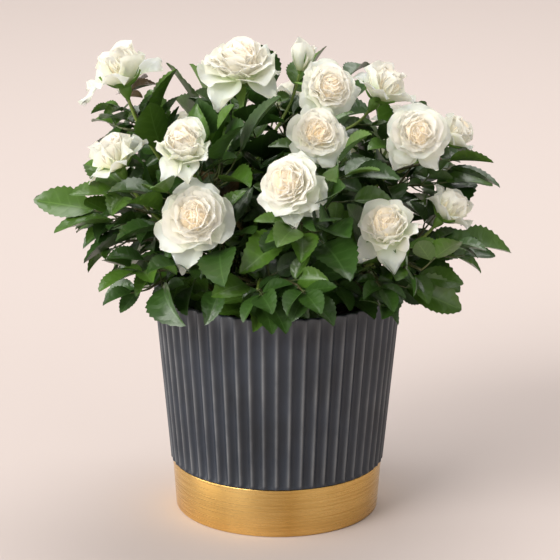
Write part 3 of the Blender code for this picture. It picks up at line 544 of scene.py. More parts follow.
soil, *_ = finish(
    "compost_finish", paint(44, 34, 27), paint(78, 62, 49),
    scale=420, contrast=2.6, grain=1500, bump=0.5 * MM,
    settings={"Roughness": 0.95, "Specular IOR Level": 0.2},
)
dressed("compost_surface", mesh_from("compost_surface", compost), [soil], ["compost"])

# %% [markdown]
# ## How the bush grows
#
# The rest of the plant is grown by the rule that made its solids: six canes rise from the
# compost, boughs leave them, and each ends in a mass of foliage. The tables below give where
# each cane stands and where each bloom is held. Headings are degrees seen from above, 0 to
# the right and 90 to the back, and the other numbers are millimetres.

# %% Tables of canes, blooms and shoots
CANE_FEET = {
    "left": (185, 17), "front_left": (-118, 15), "middle": (75, 3),
    "front_right": (-62, 16), "right": (-5, 18), "back": (105, 19),
}
# Blooms: heading, reach, height, width, the heading and rise that it faces, state, dropped petals.
BLOOMS = {
    "left_top": [(173.6, 89, 253, 42, 160, 74, "cup", 2)],
    "left": [(-166.4, 94, 211, 36, 178, 62, "cup", 1)],
    "upper_left": [(-136.6, 70, 223, 34, -105, 58, "bowl", 2)],
    "front_left": [(-124, 80, 187, 41, -96, 28, "rosette", 1)],
    "top": [(174.6, 22, 256, 44, -95, 76, "rosette", 2), (52, 21, 256, 20, 40, 78, "bud", 0)],
    "top_right": [(-42.5, 37, 248.5, 34, -72, 34, "rosette", 0), (2, 59, 245, 38, 18, 58, "cup", 0)],
    "front": [(-85.4, 78, 209, 38, -122, 26, "rosette", 3), (-66, 51, 228.5, 33, -84, 32, "rosette", 0)],
    "right_top": [(-26.7, 84, 227, 35, -82, 24, "rosette", 2), (1, 99, 218, 30, 5, 42, "cup", 0)],
    "right": [(-13, 98, 182, 33, 8, 50, "cup", 0)],
    "front_right": [(-50, 91, 184, 36, -104, 44, "bowl", 2)],
    "back_left": [(131, 84, 203, 36, 140, 42, "rosette", 0)],
    "back_left_low": [(158, 96, 176, 33, 165, 28, "cup", 0)],
    "back": [(103, 94, 184, 38, 95, 26, "rosette", 0)],
    "back_top": [(82, 66, 222, 34, 88, 55, "rosette", 0)],
    "back_right": [(54, 94, 190, 37, 58, 30, "rosette", 0)],
    "back_right_top": [(33, 84, 212, 32, 40, 50, "cup", 0)],
    "skirt_left": [], "skirt_front": [], "skirt_right": [], "skirt_back_left": [], "skirt_back_right": [],
}
SHOOT_ENDS = {
    "skirt_left": (-146, 80, 152), "skirt_front": (-98, 78, 150), "skirt_right": (-38, 78, 150),
    "skirt_back_left": (132, 80, 152), "skirt_back_right": (45, 80, 150),
}
# Each mass's cane, and how far up it the mass's bough leaves, or None for the cane's own tip.
ROOTS = {
    "left": ("left", None), "left_top": ("left", 0.62), "back_left_low": ("left", 0.4),
    "skirt_left": ("left", 0.25), "front_left": ("front_left", None), "upper_left": ("front_left", 0.72),
    "skirt_front": ("front_left", 0.3), "top": ("middle", None), "top_right": ("middle", 0.7),
    "back_top": ("middle", 0.5), "front": ("front_right", None), "front_right": ("front_right", 0.5),
    "skirt_right": ("front_right", 0.25), "right_top": ("right", None), "right": ("right", 0.5),
    "back_right_top": ("right", 0.75), "back": ("back", None), "back_left": ("back", 0.75),
    "back_right": ("back", 0.55), "skirt_back_left": ("back", 0.25), "skirt_back_right": ("back", 0.35),
}
# Leaves whose tips make the outline: share of the stem, and the tip's heading, reach, height.
OUTLINE_LEAVES = {
    "left_top": [(0.45, -177, 96, 217), (0.55, 166, 56, 234)],
    "left": [(0.25, -175.8, 138, 177), (0.35, -167, 128, 168), (0.5, 176, 112, 200), (0.15, -163, 114, 152)],
    "top": [(0.45, 172, 50, 238), (0.6, -60, 32, 232)],
    "back_top": [(0.5, 112, 34, 270)],
    "skirt_left": [(0.5, -157, 112, 148), (0.75, -143, 96, 138), (0.9, -124, 101, 127)],
    "skirt_front": [(0.9, -92, 93, 128), (0.5, -110, 98, 148), (0.7, -74, 92, 150)],
    "skirt_right": [(0.4, -21, 110, 123), (0.55, -13, 118, 130), (0.8, -64, 94, 138), (0.7, -36, 98, 140)],
    "right": [(0.45, 0, 134, 148), (0.55, 10, 114, 191), (0.3, -6, 112, 158)],
    "back_left_low": [(0.5, 172, 122, 170), (0.3, 163, 116, 146)],
    "back_left": [(0.5, 148, 108, 190)],
    "back": [(0.6, 96, 122, 158), (0.4, 112, 116, 172)],
    "back_right": [(0.5, 50, 120, 166), (0.4, 66, 118, 172)],
    "back_right_top": [(0.5, 26, 112, 186)],
    "skirt_back_left": [(0.6, 152, 108, 142), (0.9, 128, 104, 132)],
    "skirt_back_right": [(0.6, 28, 112, 140), (0.9, 52, 106, 132)],
}
# How far out the seeded leaves may reach: height, and reach there.
CROWN = ((126, 104), (150, 126), (180, 130), (205, 122), (228, 108), (248, 88), (268, 40))
print(sum(len(group) for group in BLOOMS.values()), "blooms on", len(ROOTS), "stems")

# %% [markdown]
# Places on a plant are easiest to give as a heading, a reach from the middle and a height, and
# the way that a bloom faces as a heading and a rise. A stem bends as a bent rod does, so each
# is one cubic curve, which leaves in one direction and arrives in another.

# %% Places, directions and bends
GAP = 0.3 * MM
CANE_RADIUS, BOUGH_RADIUS, STEM_RADIUS = 2.5 * MM, 1.5 * MM, 1.2 * MM
TWIG_RADIUS, TIP_RADIUS = 1.0 * MM, 0.9 * MM
FOOT_FLARE = 1.5
LINE_STEPS = 10
LINE_PULL = 0.36  # of a line's length, over which each end's direction carries
CANE_SHARE, BOUGH_SHARE = 0.5, 0.45
CROWN_HEART = Vector((0, 0, 148)) * MM
HIP_REACH = 0.39  # of a bloom's width, from its middle down to its stalk


def polar(heading, reach, height):
    angle = math.radians(heading)
    return Vector((reach * math.cos(angle), reach * math.sin(angle), height)) * MM


def way(heading, rise):
    a, e = math.radians(heading), math.radians(rise)
    return Vector((math.cos(a) * math.cos(e), math.sin(a) * math.cos(e), math.sin(e)))


def blend(a, b, share):
    return a + (b - a) * share


def across(direction, like):
    """The part of like that is square to direction, as a unit vector."""
    square = like - direction * like.dot(direction)
    return (square if square.length > 1e-6 else direction.orthogonal()).normalized()


def point_along(points, share):
    """The point and the heading a share of the way along a run of points."""
    place = share * (len(points) - 1)
    index = min(int(place), len(points) - 2)
    ahead = (points[index + 1] - points[index]).normalized()
    return blend(points[index], points[index + 1], place - index), ahead


def curved_line(start, leaving, end, arriving, steps=LINE_STEPS):
    pull = (end - start).length * LINE_PULL
    return interpolate_bezier(start, start + leaving * pull, end - arriving * pull, end, steps + 1)


print("a whole line has", LINE_STEPS, "straight stretches")

# %% [markdown]
# A cane leaves the compost nearly upright and arrives under its bloom, square to it. A bough
# could branch off at any angle, but real ones keep some of the cane's own direction, so the
# two directions are added together. Each line is then cut in two: limb below, stem above.


# %% Lines of canes, boughs and stems
def bloom_foot(bloom):
    heading, reach, height, width, facing, rise, _, _ = bloom
    return polar(heading, reach, height) - way(facing, rise) * width * MM * HIP_REACH


def line_end(mass):
    """The tip of a mass's stem and the way that it points there."""
    if BLOOMS[mass]:
        return bloom_foot(BLOOMS[mass][0]), way(*BLOOMS[mass][0][4:6])
    heading, reach, height = SHOOT_ENDS[mass]
    return polar(heading, reach, height), way(heading, -25)


def cane_line(mass, cane):
    foot = polar(*CANE_FEET[cane], 0)
    foot.z = COMPOST_TOP + GAP
    end, arriving = line_end(mass)
    lean = Vector((end.x - foot.x, end.y - foot.y, 0)) * 0.5
    leaving = (UP * 0.09 + lean).normalized()
    return [foot, *curved_line(foot + UP * CANE_RADIUS, leaving, end, arriving)]


def bough_line(mass, cane_points, share):
    start, along = point_along(cane_points, share)
    end, arriving = line_end(mass)
    outwards = across(along, end - start)
    leaving = (along * 0.75 + outwards).normalized()
    slant = leaving.angle(along)
    clear = (CANE_RADIUS + GAP * 2 + BOUGH_RADIUS * math.cos(slant)) / math.sin(slant)
    return curved_line(start + leaving * clear, leaving, end, arriving)


def split_line(points, share):
    """The limb below and the mass's stem above, with a gap where they meet."""
    index = round(share * (len(points) - 1))
    ahead = (points[index + 1] - points[index - 1]).normalized()
    lower, upper = list(points[: index + 1]), list(points[index:])
    lower[-1] = lower[-1] - ahead * GAP * 0.7
    upper[0] = upper[0] + ahead * GAP * 0.7
    return lower, upper


LIMBS, STEMS = {}, {}
for mass, (cane, share) in ROOTS.items():
    if share is None:
        LIMBS["cane_" + cane], STEMS[mass] = split_line(cane_line(mass, cane), CANE_SHARE)
for mass, (cane, share) in ROOTS.items():
    if share is not None:
        line = bough_line(mass, LIMBS["cane_" + cane], share)
        LIMBS["bough_" + mass], STEMS[mass] = split_line(line, BOUGH_SHARE)
same_limbs = sorted(LIMBS) == sorted(CANES + BOUGHS)
print(len(LIMBS), "limbs and", len(STEMS), "stems, as the solids have them:", same_limbs)

# %% [markdown]
# From each stem grow leafy twigs, one on from the next by 137.5 degrees round the stem. That
# turn is what most plants use, because no leaf then lies right above another. Every choice by
# chance is seeded by its own name, so the bush comes out the same each time.

# %% The rule for twigs
TURN = 137.5
LEAF_GAP = 9.5 * MM
LEAF_ANGLE = 55
PETIOLE, PETIOLE_WIDTH = 13 * MM, 0.9 * MM
TERMINAL_LENGTH = 41 * MM
PAIR_LENGTHS, PAIR_ANGLES = (31 * MM, 26 * MM), (62, 121)
LEAFLET_WIDTH, LEAFLET_FOLD, LEAFLET_DROOP = 0.58, 0.05, 0.15
LEAF_THICKNESS = 0.8 * MM
TRIES = 20
ENOUGH_LEAFLETS = 4
SIDE_TWIGS, SIDE_TWIG_LENGTH = 4, 34 * MM


def bloom_twigs(mass, stem):
    """The stem's own forks, one for each further bloom of the mass."""
    twigs = []
    for bloom in BLOOMS[mass][1:]:
        start, along = point_along(stem, 0.25)
        end = bloom_foot(bloom)
        leaving = (along + across(along, end - start) * 0.8).normalized()
        twigs.append(curved_line(start, leaving, end, way(*bloom[4:6]), 5))
    return twigs


def outline_twig(stem, aim):
    """A twig toward an outline leaf whose tip is too far off for the leaf alone, or None."""
    start, along = point_along(stem, aim[0])
    tip = polar(*aim[1:])
    short = (tip - start).length - PETIOLE - TERMINAL_LENGTH
    if short < 8 * MM:
        return None
    ahead = (tip - start).normalized()
    leaving = (ahead + along * 0.5 + UP * 0.2).normalized()
    return curved_line(start, leaving, start + ahead * short + UP * 0.1 * short, ahead, 3)


def side_twig(stem, index, chance, length=SIDE_TWIG_LENGTH, first=0.08, last=0.65):
    start, along = point_along(stem, chance.uniform(first, last))
    spin = Matrix.Rotation(math.radians(index * TURN + chance.uniform(0, 180)), 3, along)
    sideways = spin @ across(along, UP)
    outwards = (start - CROWN_HEART).normalized()
    leaving = (along * 0.5 + sideways + outwards * 0.5).normalized()
    arriving = (leaving + outwards * 0.8 - UP * 0.25).normalized()
    end = start + (leaving + arriving).normalized() * length * chance.uniform(0.6, 1.15)
    return curved_line(start, leaving, end, arriving, 2)


FORKS = {mass: bloom_twigs(mass, stem) for mass, stem in STEMS.items()}
print(sum(len(forks) for forks in FORKS.values()), "stems fork for a second bloom")

# %% [markdown]
# A rose leaf is compound: a stalk, a leaflet at its end and one or two pairs beside it. Leaves
# stand off their twig and turn their upper sides to the light, up and out of the bush. For a
# leaf of the outline it is the other way round: its tip's place is given, and its size follows.


# %% The rule for leaves
def leaf_face(place, toward, chance):
    """Leaves turn their upper sides up and away from the middle of the bush."""
    outwards = (place - CROWN_HEART).normalized()
    jitter = Vector([chance.uniform(-0.3, 0.3) for _ in range(3)])
    return across(toward, UP * 0.75 + outwards * 0.75 + jitter)


def leaf_at(foot, toward, face, size, pairs):
    """A compound leaf: its foot, and each leaflet as (node, heading, face, length)."""
    node = foot + toward * PETIOLE * size
    leaflets = [(node, toward, face, TERMINAL_LENGTH * size)]
    for angle, length in list(zip(PAIR_ANGLES, PAIR_LENGTHS))[:pairs]:
        for hand in (1, -1):
            heading = Matrix.Rotation(math.radians(hand * angle), 3, face) @ toward
            leaflets.append((node, heading, face, length * size))
    return foot, leaflets


def twig_leaf(twig, share, index, attempt, chance, scale=1):
    foot, along = point_along(twig, share)
    turn = math.radians((index + attempt) * TURN + chance.uniform(-25, 25))
    tried = attempt / TRIES
    outwards = (foot - CROWN_HEART).normalized() * (0.8 - tried)
    spin = Matrix.Rotation(turn, 3, along)
    sideways = (spin @ across(along, UP) + outwards).normalized()
    angle = math.radians(LEAF_ANGLE + chance.uniform(-16, 16)) * (0.4 if share > 0.95 else 1)
    toward = (along * math.cos(angle) + sideways * math.sin(angle)).normalized()
    size = chance.uniform(0.7, 1.0) * (1 - tried * 0.35) * scale
    return leaf_at(foot, toward, leaf_face(foot, toward, chance), size, 2)


def leaf_places(twig, first, last, gap=LEAF_GAP):
    length = sum((b - a).length for a, b in zip(twig, twig[1:]))
    count = max(1, round(length * (last - first) / gap))
    middles = [first + (last - first) * (index + 0.5) / count for index in range(count)]
    return [0.96, *middles] if last == 1 else middles  # a twig's first leaf stands at its tip


def outline_leaf(foot, aim, chance):
    """A leaf whose terminal leaflet's tip comes to a given place."""
    tip = polar(*aim[1:])
    toward = (tip - foot + UP * TERMINAL_LENGTH * LEAFLET_DROOP).normalized()
    size = (tip - foot).length / (PETIOLE + TERMINAL_LENGTH)
    return leaf_at(foot, toward, leaf_face(foot, toward, chance), size, 2)


print("a whole leaf reaches", round((PETIOLE + TERMINAL_LENGTH) / MM), "mm from its twig")

# %% [markdown]
# Leaves must not pass through one another, through a bloom or through the pot. Testing meshes
# against meshes would be slow, so all wood becomes rows of round spots, each a place and a
# radius, and a bloom is one large spot.

# %% Wood as rows of spots
CLEARANCE = 0.6 * MM


def runs(points, radius, spacing=1.5 * MM):
    """Spots (x, y, z, radius) close together along a run of points."""
    spots = []
    for a, b in zip(points, points[1:]):
        count = max(1, math.ceil((b - a).length / spacing))
        spots += [(*blend(a, b, i / count), radius) for i in range(count)]
    return spots + [(*points[-1], radius)]


def taper(first, last, count):
    return [blend(first, last, i / (count - 1)) for i in range(count)]


def limb_radii(name, points):
    cane = name.startswith("cane")
    radii = taper(CANE_RADIUS if cane else BOUGH_RADIUS, STEM_RADIUS, len(points))
    if cane:
        radii[0] *= FOOT_FLARE
    return radii


def limb_spots(name, points):
    radii = limb_radii(name, points)
    return [spot for a, b, r in zip(points, points[1:], radii) for spot in runs([a, b], r)]


def ball(bloom):
    return (*polar(*bloom[:3]), bloom[3] * MM * 0.5)


LIMB_SPOTS = np.array([spot for name, points in LIMBS.items() for spot in limb_spots(name, points)])
BALLS = np.array([ball(bloom) for group in BLOOMS.values() for bloom in group])
print(len(LIMB_SPOTS), "spots on the limbs")

# %% [markdown]
# A leaflet is tested in two ways. Seen as a small grid of points, it may not come near other
# things. Seen as a curved slab, it may hold nothing else. Both need the leaflet's own frame.


# %% A leaflet as a grid and as a slab
def leaflet_frame(leaflet):
    """Local X along the midrib, Z out of the upper side, origin at the leaf's node."""
    node, heading, face, _ = leaflet
    turned_to = Matrix((heading, face.cross(heading), face)).transposed().to_4x4()
    turned_to.translation = node
    return turned_to


def half_width(share, length):
    return length * LEAFLET_WIDTH / 2 * np.sin(np.pi * np.clip(share, 0, 1) ** 1.15)


GRID_SHARE = np.repeat(np.linspace(0.16, 1, 8), 5)
GRID_HAND = np.tile([-1, -0.5, 0, 0.5, 1], 8)
GRID_RISE = LEAFLET_FOLD * np.abs(GRID_HAND) - LEAFLET_DROOP * GRID_SHARE**2


def leaflet_grid(leaflet):
    """Points spread over a leaflet."""
    length = leaflet[3]
    to_world = np.array(leaflet_frame(leaflet))
    wide = GRID_HAND * half_width(GRID_SHARE, length)
    local = np.stack([GRID_SHARE * length, wide, GRID_RISE * length], axis=1)
    return local @ to_world[:3, :3].T + to_world[:3, 3]


def hits_spots(leaflet, spots, room=CLEARANCE):
    """Whether any spot, with its radius, is in the leaflet's blade."""
    if not len(spots):
        return False
    length = leaflet[3]
    to_leaf = np.array(leaflet_frame(leaflet).inverted())
    local = spots[:, :3] @ to_leaf[:3, :3].T + to_leaf[:3, 3]
    reach = spots[:, 3] + room
    share = np.clip(local[:, 0] / length, 0, 1)
    near = (local[:, 0] > 0.1 * length) & (local[:, 0] < length + reach)
    wide = np.abs(local[:, 1]) < half_width(share, length) + reach
    low = LEAFLET_DROOP * share**2 * length + LEAF_THICKNESS / 2
    thick = (local[:, 2] > -low - reach) & (local[:, 2] < LEAFLET_FOLD * length - low + reach + 1 * MM)
    return bool((near & wide & thick).any())


def distance_to(points, spots):
    """From each point to the nearest spot's surface."""
    gaps = np.linalg.norm(points[:, None] - spots[None, :, :3], axis=2) - spots[None, :, 3]
    return gaps.min(axis=1)


print("a leaflet's grid has", len(GRID_SHARE), "points")

# %% [markdown]
# The crown has a hem and a reach of its own, and leaves hang over the pot's rim without
# cutting into it. Each mass also keeps to the space that is nearer to its own stem than to
# any other's, so every stem gets its spots here, with those of its forks and outline leaves.


# %% The crown, the pot and the masses' own spots
def in_crown(points):
    """Whether all of the points are in the crown, above its hem and within its reach."""
    heights, reaches = np.array(CROWN).T * MM
    radius, height = np.hypot(points[:, 0], points[:, 1]), points[:, 2]
    inside = (radius < np.interp(height, heights, reaches)) & (height < heights[-1])
    over_pot = (radius < RIM_RADIUS - WALL_THICKNESS) & (height > COMPOST_TOP)
    return bool((inside & ((height > heights[0]) | over_pot)).all())


def hits_pot(points):
    """Whether any point is in the pot's wall or rim, or in the compost."""
    radius, height = np.hypot(points[:, 0], points[:, 1]), points[:, 2]
    rise = np.clip((height - BAND_HEIGHT) / (POT_HEIGHT - BAND_HEIGHT), 0, 1)
    outer = WALL_FOOT[0] + (RIM_RADIUS - WALL_FOOT[0]) * rise + 2 * CLEARANCE
    inner = outer - WALL_THICKNESS - 5 * CLEARANCE
    low = height < POT_HEIGHT + 2 * CLEARANCE
    in_compost = (radius < outer) & (height < COMPOST_TOP + 2 * CLEARANCE)
    return bool((low & (radius < outer) & (radius > inner)).any() or in_compost.any())


MASS_SPOTS = {}
for mass, stem in STEMS.items():
    spots = runs(stem, STEM_RADIUS)
    for fork in FORKS[mass]:
        spots += runs(fork, TWIG_RADIUS)
    for aim in OUTLINE_LEAVES.get(mass, []):
        spots += runs([point_along(stem, aim[0])[0], polar(*aim[1:])], TIP_RADIUS)
    MASS_SPOTS[mass] = np.array(spots + [ball(bloom) for bloom in BLOOMS[mass]])
OTHER_SPOTS = {
    mass: np.concatenate([spots for other, spots in MASS_SPOTS.items() if other != mass])
    for mass in MASS_SPOTS
}
print(sum(map(len, MASS_SPOTS.values())), "spots on the stems and blooms")

# %% [markdown]
# A few questions come up for each new twig or leaf: is it all in the mass's own space, is it
# clear of blooms, pot and limbs, and where do the spots of its stalk lie?

# %% A mass's own space
BLOOM_OVERLAP = 0.1 * MM  # so little may a leaf dip into the round spot of a bloom


def holds(mass, points):
    """Whether all of the points are nearer to the mass's own stem than to any other's."""
    own = distance_to(points, MASS_SPOTS[mass])
    middle = points.mean(axis=0)
    reach = np.linalg.norm(points - middle, axis=1).max() + own.max() + CLEARANCE
    others = OTHER_SPOTS[mass]
    others = others[np.linalg.norm(others[:, :3] - middle, axis=1) - others[:, 3] < reach]
    return not len(others) or bool((own + CLEARANCE < distance_to(points, others)).all())


def clear_of_blooms(points):
    return bool((distance_to(points, BALLS) > -BLOOM_OVERLAP).all()) and not hits_pot(points)


def takes_twig(mass, twig):
    points = np.array(runs(twig, 0))[:, :3]
    off_limbs = distance_to(points, LIMB_SPOTS).min() > TWIG_RADIUS + CLEARANCE
    return off_limbs and clear_of_blooms(points) and holds(mass, points)


def with_radius(points, radius=0.2 * MM):
    return np.pad(points, ((0, 0), (0, 1)), constant_values=radius)


def petiole_spots(leaf, skipped=0):
    foot, leaflets = leaf
    return np.array(runs([foot, leaflets[0][0]], PETIOLE_WIDTH / 2)[skipped:])


print("twigs keep", round((TWIG_RADIUS + CLEARANCE) / MM, 1), "mm from the limbs' skin")

# %% [markdown]
# `Grown` remembers what already stands in a mass, so that the next leaf can be tested against
# it. Only leaflets close by are tested one by one, which keeps the growing quick.

# %% What has grown so far
LEAFLETS_NEAR = 45 * MM


class Grown:
    """What a mass has grown so far."""

    def __init__(self, twigs):
        self.wood = np.array([spot for twig in twigs for spot in runs(twig, TWIG_RADIUS)])
        self.leaves, self.leaflets, self.petioles = [], [], []

    def blocks(self, leaflet, grid):
        if hits_spots(leaflet, self.wood):
            return True
        node, heading, _, length = leaflet
        middle = node + heading * length / 2
        spots = with_radius(grid)
        near = [entry for entry in self.leaflets if (entry[2] - middle).length < LEAFLETS_NEAR]
        if near and hits_spots(leaflet, np.concatenate([taken for _, taken, _ in near])):
            return True
        if self.petioles and hits_spots(leaflet, np.concatenate(self.petioles)):
            return True
        return any(hits_spots(other, spots) for other, _, _ in near)

    def blocks_petiole(self, leaf):
        spots = petiole_spots(leaf, 2)
        return any(hits_spots(other, spots) for other, _, _ in self.leaflets)

    def hold(self, leaflet):
        middle = leaflet[0] + leaflet[1] * leaflet[3] / 2
        self.leaflets.append((leaflet, with_radius(leaflet_grid(leaflet)), middle))

    def take(self, leaf):
        self.leaves.append(leaf)
        for leaflet in leaf[1]:
            self.hold(leaflet)
        self.petioles.append(petiole_spots(leaf))


print("leaflets are tested against those within", round(LEAFLETS_NEAR / MM), "mm")

# %% [markdown]
# A leaf keeps the leaflets that there is room for, as long as the one at its end is among
# them. Of several turns of a leaf, the first that keeps enough leaflets wins, or else the
# fullest.


# %% Leaves that fit
def fits(mass, leaflet, grown, anywhere):
    grid = leaflet_grid(leaflet)
    if not (anywhere or in_crown(grid)) or not clear_of_blooms(grid) or hits_spots(leaflet, LIMB_SPOTS):
        return False
    if hits_spots(leaflet, OTHER_SPOTS[mass]) or not holds(mass, grid):
        return False
    return not grown.blocks(leaflet, grid)


def fitted(mass, leaf, grown, anywhere=False):
    """A leaf with only the leaflets that there is room for, or None."""
    foot, leaflets = leaf
    if not fits(mass, leaflets[0], grown, anywhere) or grown.blocks_petiole(leaf):
        return None
    if distance_to(petiole_spots(leaf, 2)[:, :3], LIMB_SPOTS).min() < CLEARANCE:
        return None
    return foot, [leaflets[0], *(l for l in leaflets[1:] if fits(mass, l, grown, anywhere))]


def fullest(leaves, fit, enough):
    """The first of these leaves to keep enough leaflets, or else the one that keeps the most."""
    best = None
    for leaf in leaves:
        leaf = fit(leaf)
        if leaf and (best is None or len(leaf[1]) > len(best[1])):
            best = leaf
        if best and len(best[1]) >= enough:
            break
    return best


print("a leaf is turned and tried up to", TRIES, "times")

# %% [markdown]
# A mass is grown in one go: first its twigs, then the leaves that make its outline, then the
# rest. A leaf that doesn't fit is turned on and tried again, a little smaller each time.


# %% Growing a mass
def grow_twigs(mass, stem):
    twigs = [twig for aim in OUTLINE_LEAVES.get(mass, []) if (twig := outline_twig(stem, aim))]
    for index in range(SIDE_TWIGS):
        for attempt in range(TRIES):
            twig = side_twig(stem, index, random.Random(f"{mass} twig {index} {attempt}"))
            if takes_twig(mass, twig[1:]):
                twigs.append(twig)
                break
    return twigs


def grow_outline_leaves(mass, stem, grown):
    """First the terminal leaflet of each, so that it reaches its place, then the others."""
    whole = []
    for index, aim in enumerate(OUTLINE_LEAVES.get(mass, [])):
        twig = outline_twig(stem, aim)
        chance = random.Random(f"{mass} outline {index}")
        for _ in range(TRIES):
            share = aim[0] + chance.uniform(-0.12, 0.12)
            foot = twig[-1] if twig else point_along(stem, share)[0]
            leaf = outline_leaf(foot, aim, chance)
            tip_only = fitted(mass, (foot, leaf[1][:1]), grown, True)
            if tip_only:
                grown.take(tip_only)
                whole.append((tip_only, leaf))
                break
    for tip_only, (_, leaflets) in whole:
        for leaflet in leaflets[1:]:
            if fits(mass, leaflet, grown, True):
                tip_only[1].append(leaflet)
                grown.hold(leaflet)


def grow_leaves(mass, grown, leafy):
    for number, (twig, first, last) in enumerate(leafy):
        for index, share in enumerate(leaf_places(twig, first, last)):
            chance = random.Random(f"{mass} {number} leaf {index}")
            leaves = (twig_leaf(twig, share, index, attempt, chance) for attempt in range(TRIES))
            leaf = fullest(leaves, lambda leaf: fitted(mass, leaf, grown), ENOUGH_LEAFLETS)
            if leaf:
                grown.take(leaf)


print("each stem may grow", SIDE_TWIGS, "side twigs")

# %% [markdown]
# The solids stop at those leaves, since a plain model can't hold more. The real bush is much
# denser, so the same rule is carried on here: fine twigs fork from the leafy ones, and more
# leaves fill the space between the first. They keep to the thick of the crown, so its outline
# and the gaps between its outer sprays stay as they are. A bush also holds its blooms free: no
# leaf stands right before one, which is tested along a line of sight from each bloom.

# %% The thick of the crown, and free blooms
FINE_TWIGS, FINE_TWIG_LENGTH = 7, 26 * MM
FINE_LEAF_GAP = 8.5 * MM
FINE_SCALES = (1.3, 1.0, 0.76)
FINE_TRIES, FINE_ENOUGH = 8, 3
FINE_ROOM = 0.25 * MM
FINE_REACH, FINE_TOP = 62 * MM, 205 * MM
# These masses are leafy further out, right up to their bloom.
LEAFY_ARMS = {"left_top": (87 * MM, 238 * MM), "right_top": (80 * MM, 210 * MM)}
CROWN_MIDDLE = 5 * MM  # the thick of it stands this far to the right of the pot's middle
SIGHT_LENGTH, SIGHT_WIDTH = 75 * MM, 0.86  # the width is a share of the bloom's own
FRONT_HALF = 20 * MM  # blooms no further back than this are seen from in front
NEAR = 36 * MM


def sight_from(bloom):
    """The way that a bloom is seen: by the viewer in front, or else straight on."""
    place, ahead = polar(*bloom[:3]), way(*bloom[4:6])
    return (CAMERA_PLACE - place).normalized() if place.y < FRONT_HALF else ahead


ALL_BLOOMS = [bloom for group in BLOOMS.values() for bloom in group]
SIGHTS = np.array([sight_from(bloom) for bloom in ALL_BLOOMS])


def in_the_thick(foot, mass):
    """Whether a leaf with this foot would stay in the dense middle of the crown."""
    reach, top = LEAFY_ARMS.get(mass, (FINE_REACH, FINE_TOP))
    return math.hypot(foot.x - CROWN_MIDDLE, foot.y) < reach and foot.z < top


def veils_bloom(points):
    """Whether any of the points stands right before a bloom."""
    offset = points[:, None] - BALLS[None, :, :3]
    ahead = (offset * SIGHTS[None]).sum(axis=2)
    aside = np.linalg.norm(offset - ahead[..., None] * SIGHTS[None], axis=2)
    return bool(((ahead > 0) & (ahead < SIGHT_LENGTH) & (aside < BALLS[:, 3] * SIGHT_WIDTH)).any())


print(len(ALL_BLOOMS), "blooms are kept free")

# %% [markdown]
# Finer leaves of one mass may mingle with those of the next, as they do on a real bush. So
# they are tested against the whole bush at once, a grid of points for each leaflet, with room
# in one array for thousands of them.

# %% The thicket
MOST_LEAFLETS = 4000


class Thicket:
    """All wood and leaves of the bush, to test the finer leaves against."""

    def __init__(self):
        self.middles = np.zeros((MOST_LEAFLETS, 3))
        self.grids = np.zeros((MOST_LEAFLETS, len(GRID_SHARE), 4))
        self.count, self.wood = 0, []

    def hold(self, leaflet):
        self.middles[self.count] = leaflet[0] + leaflet[1] * leaflet[3] / 2
        self.grids[self.count] = with_radius(leaflet_grid(leaflet))
        self.count += 1

    def blocks(self, leaflet):
        middle = np.array(leaflet[0] + leaflet[1] * leaflet[3] / 2)
        near = np.linalg.norm(self.middles[: self.count] - middle, axis=1) < NEAR
        if hits_spots(leaflet, self.grids[: self.count][near].reshape(-1, 4), FINE_ROOM):
            return True
        wood = self.wood[np.linalg.norm(self.wood[:, :3] - middle, axis=1) < NEAR]
        return hits_spots(leaflet, wood, FINE_ROOM)

    def takes(self, leaflet):
        grid = leaflet_grid(leaflet)
        if not in_crown(grid) or hits_pot(grid) or veils_bloom(grid):
            return False
        return bool((distance_to(grid, BALLS) > 0).all()) and not self.blocks(leaflet)

    def fitted(self, leaf):
        """A leaf with the leaflets that there is room for, or None."""
        foot, leaflets = leaf
        if not self.takes(leaflets[0]):
            return None
        return foot, [leaflets[0], *(leaflet for leaflet in leaflets[1:] if self.takes(leaflet))]

    def grow(self, mass, leafy, scale):
        """The finer leaves of a mass, each turned until three of its leaflets have room."""
        grown = []
        for number, (twig, first, last) in enumerate(leafy):
            for index, share in enumerate(leaf_places(twig, first, last, FINE_LEAF_GAP)):
                if not in_the_thick(point_along(twig, share)[0], mass):
                    continue
                chance = random.Random(f"{mass} {number} fine leaf {index} {scale}")
                turns = range(0, 2 * FINE_TRIES, 2)
                leaves = (twig_leaf(twig, share, index, turn, chance, scale) for turn in turns)
                leaf = fullest(leaves, self.fitted, FINE_ENOUGH)
                if leaf:
                    grown.append(leaf)
                    for leaflet in leaf[1]:
                        self.hold(leaflet)
        return grown


print("finer leaves come at", len(FINE_SCALES), "scales, the largest first")

# %% [markdown]
# Fine twigs fork from any wood of their mass, and one that would touch a limb or stand before
# a bloom is drawn again.


# %% Fine twigs
def fine_twigs(mass, wood):
    """Fine twigs from any of the mass's wood, clear of the limbs and blooms."""
    twigs = []
    for index in range(FINE_TWIGS):
        for attempt in range(FINE_TRIES):
            chance = random.Random(f"{mass} fine {index} {attempt}")
            source, first, last = chance.choice(wood)
            twig = side_twig(source, index, chance, FINE_TWIG_LENGTH, first, last)
            points = np.array(runs(twig[1:], 0))[:, :3]
            near_limb = distance_to(points, LIMB_SPOTS).min() < TWIG_RADIUS
            if not near_limb and clear_of_blooms(points) and not veils_bloom(points):
                twigs.append(twig)
                break
    return twigs


print("up to", FINE_TWIGS, "fine twigs a mass")

# %% [markdown]
# Now the bush is grown: first each mass by the solids' own rule, then the finer leaves of all.
# A leaf that would stand right before a bloom is left out at once.

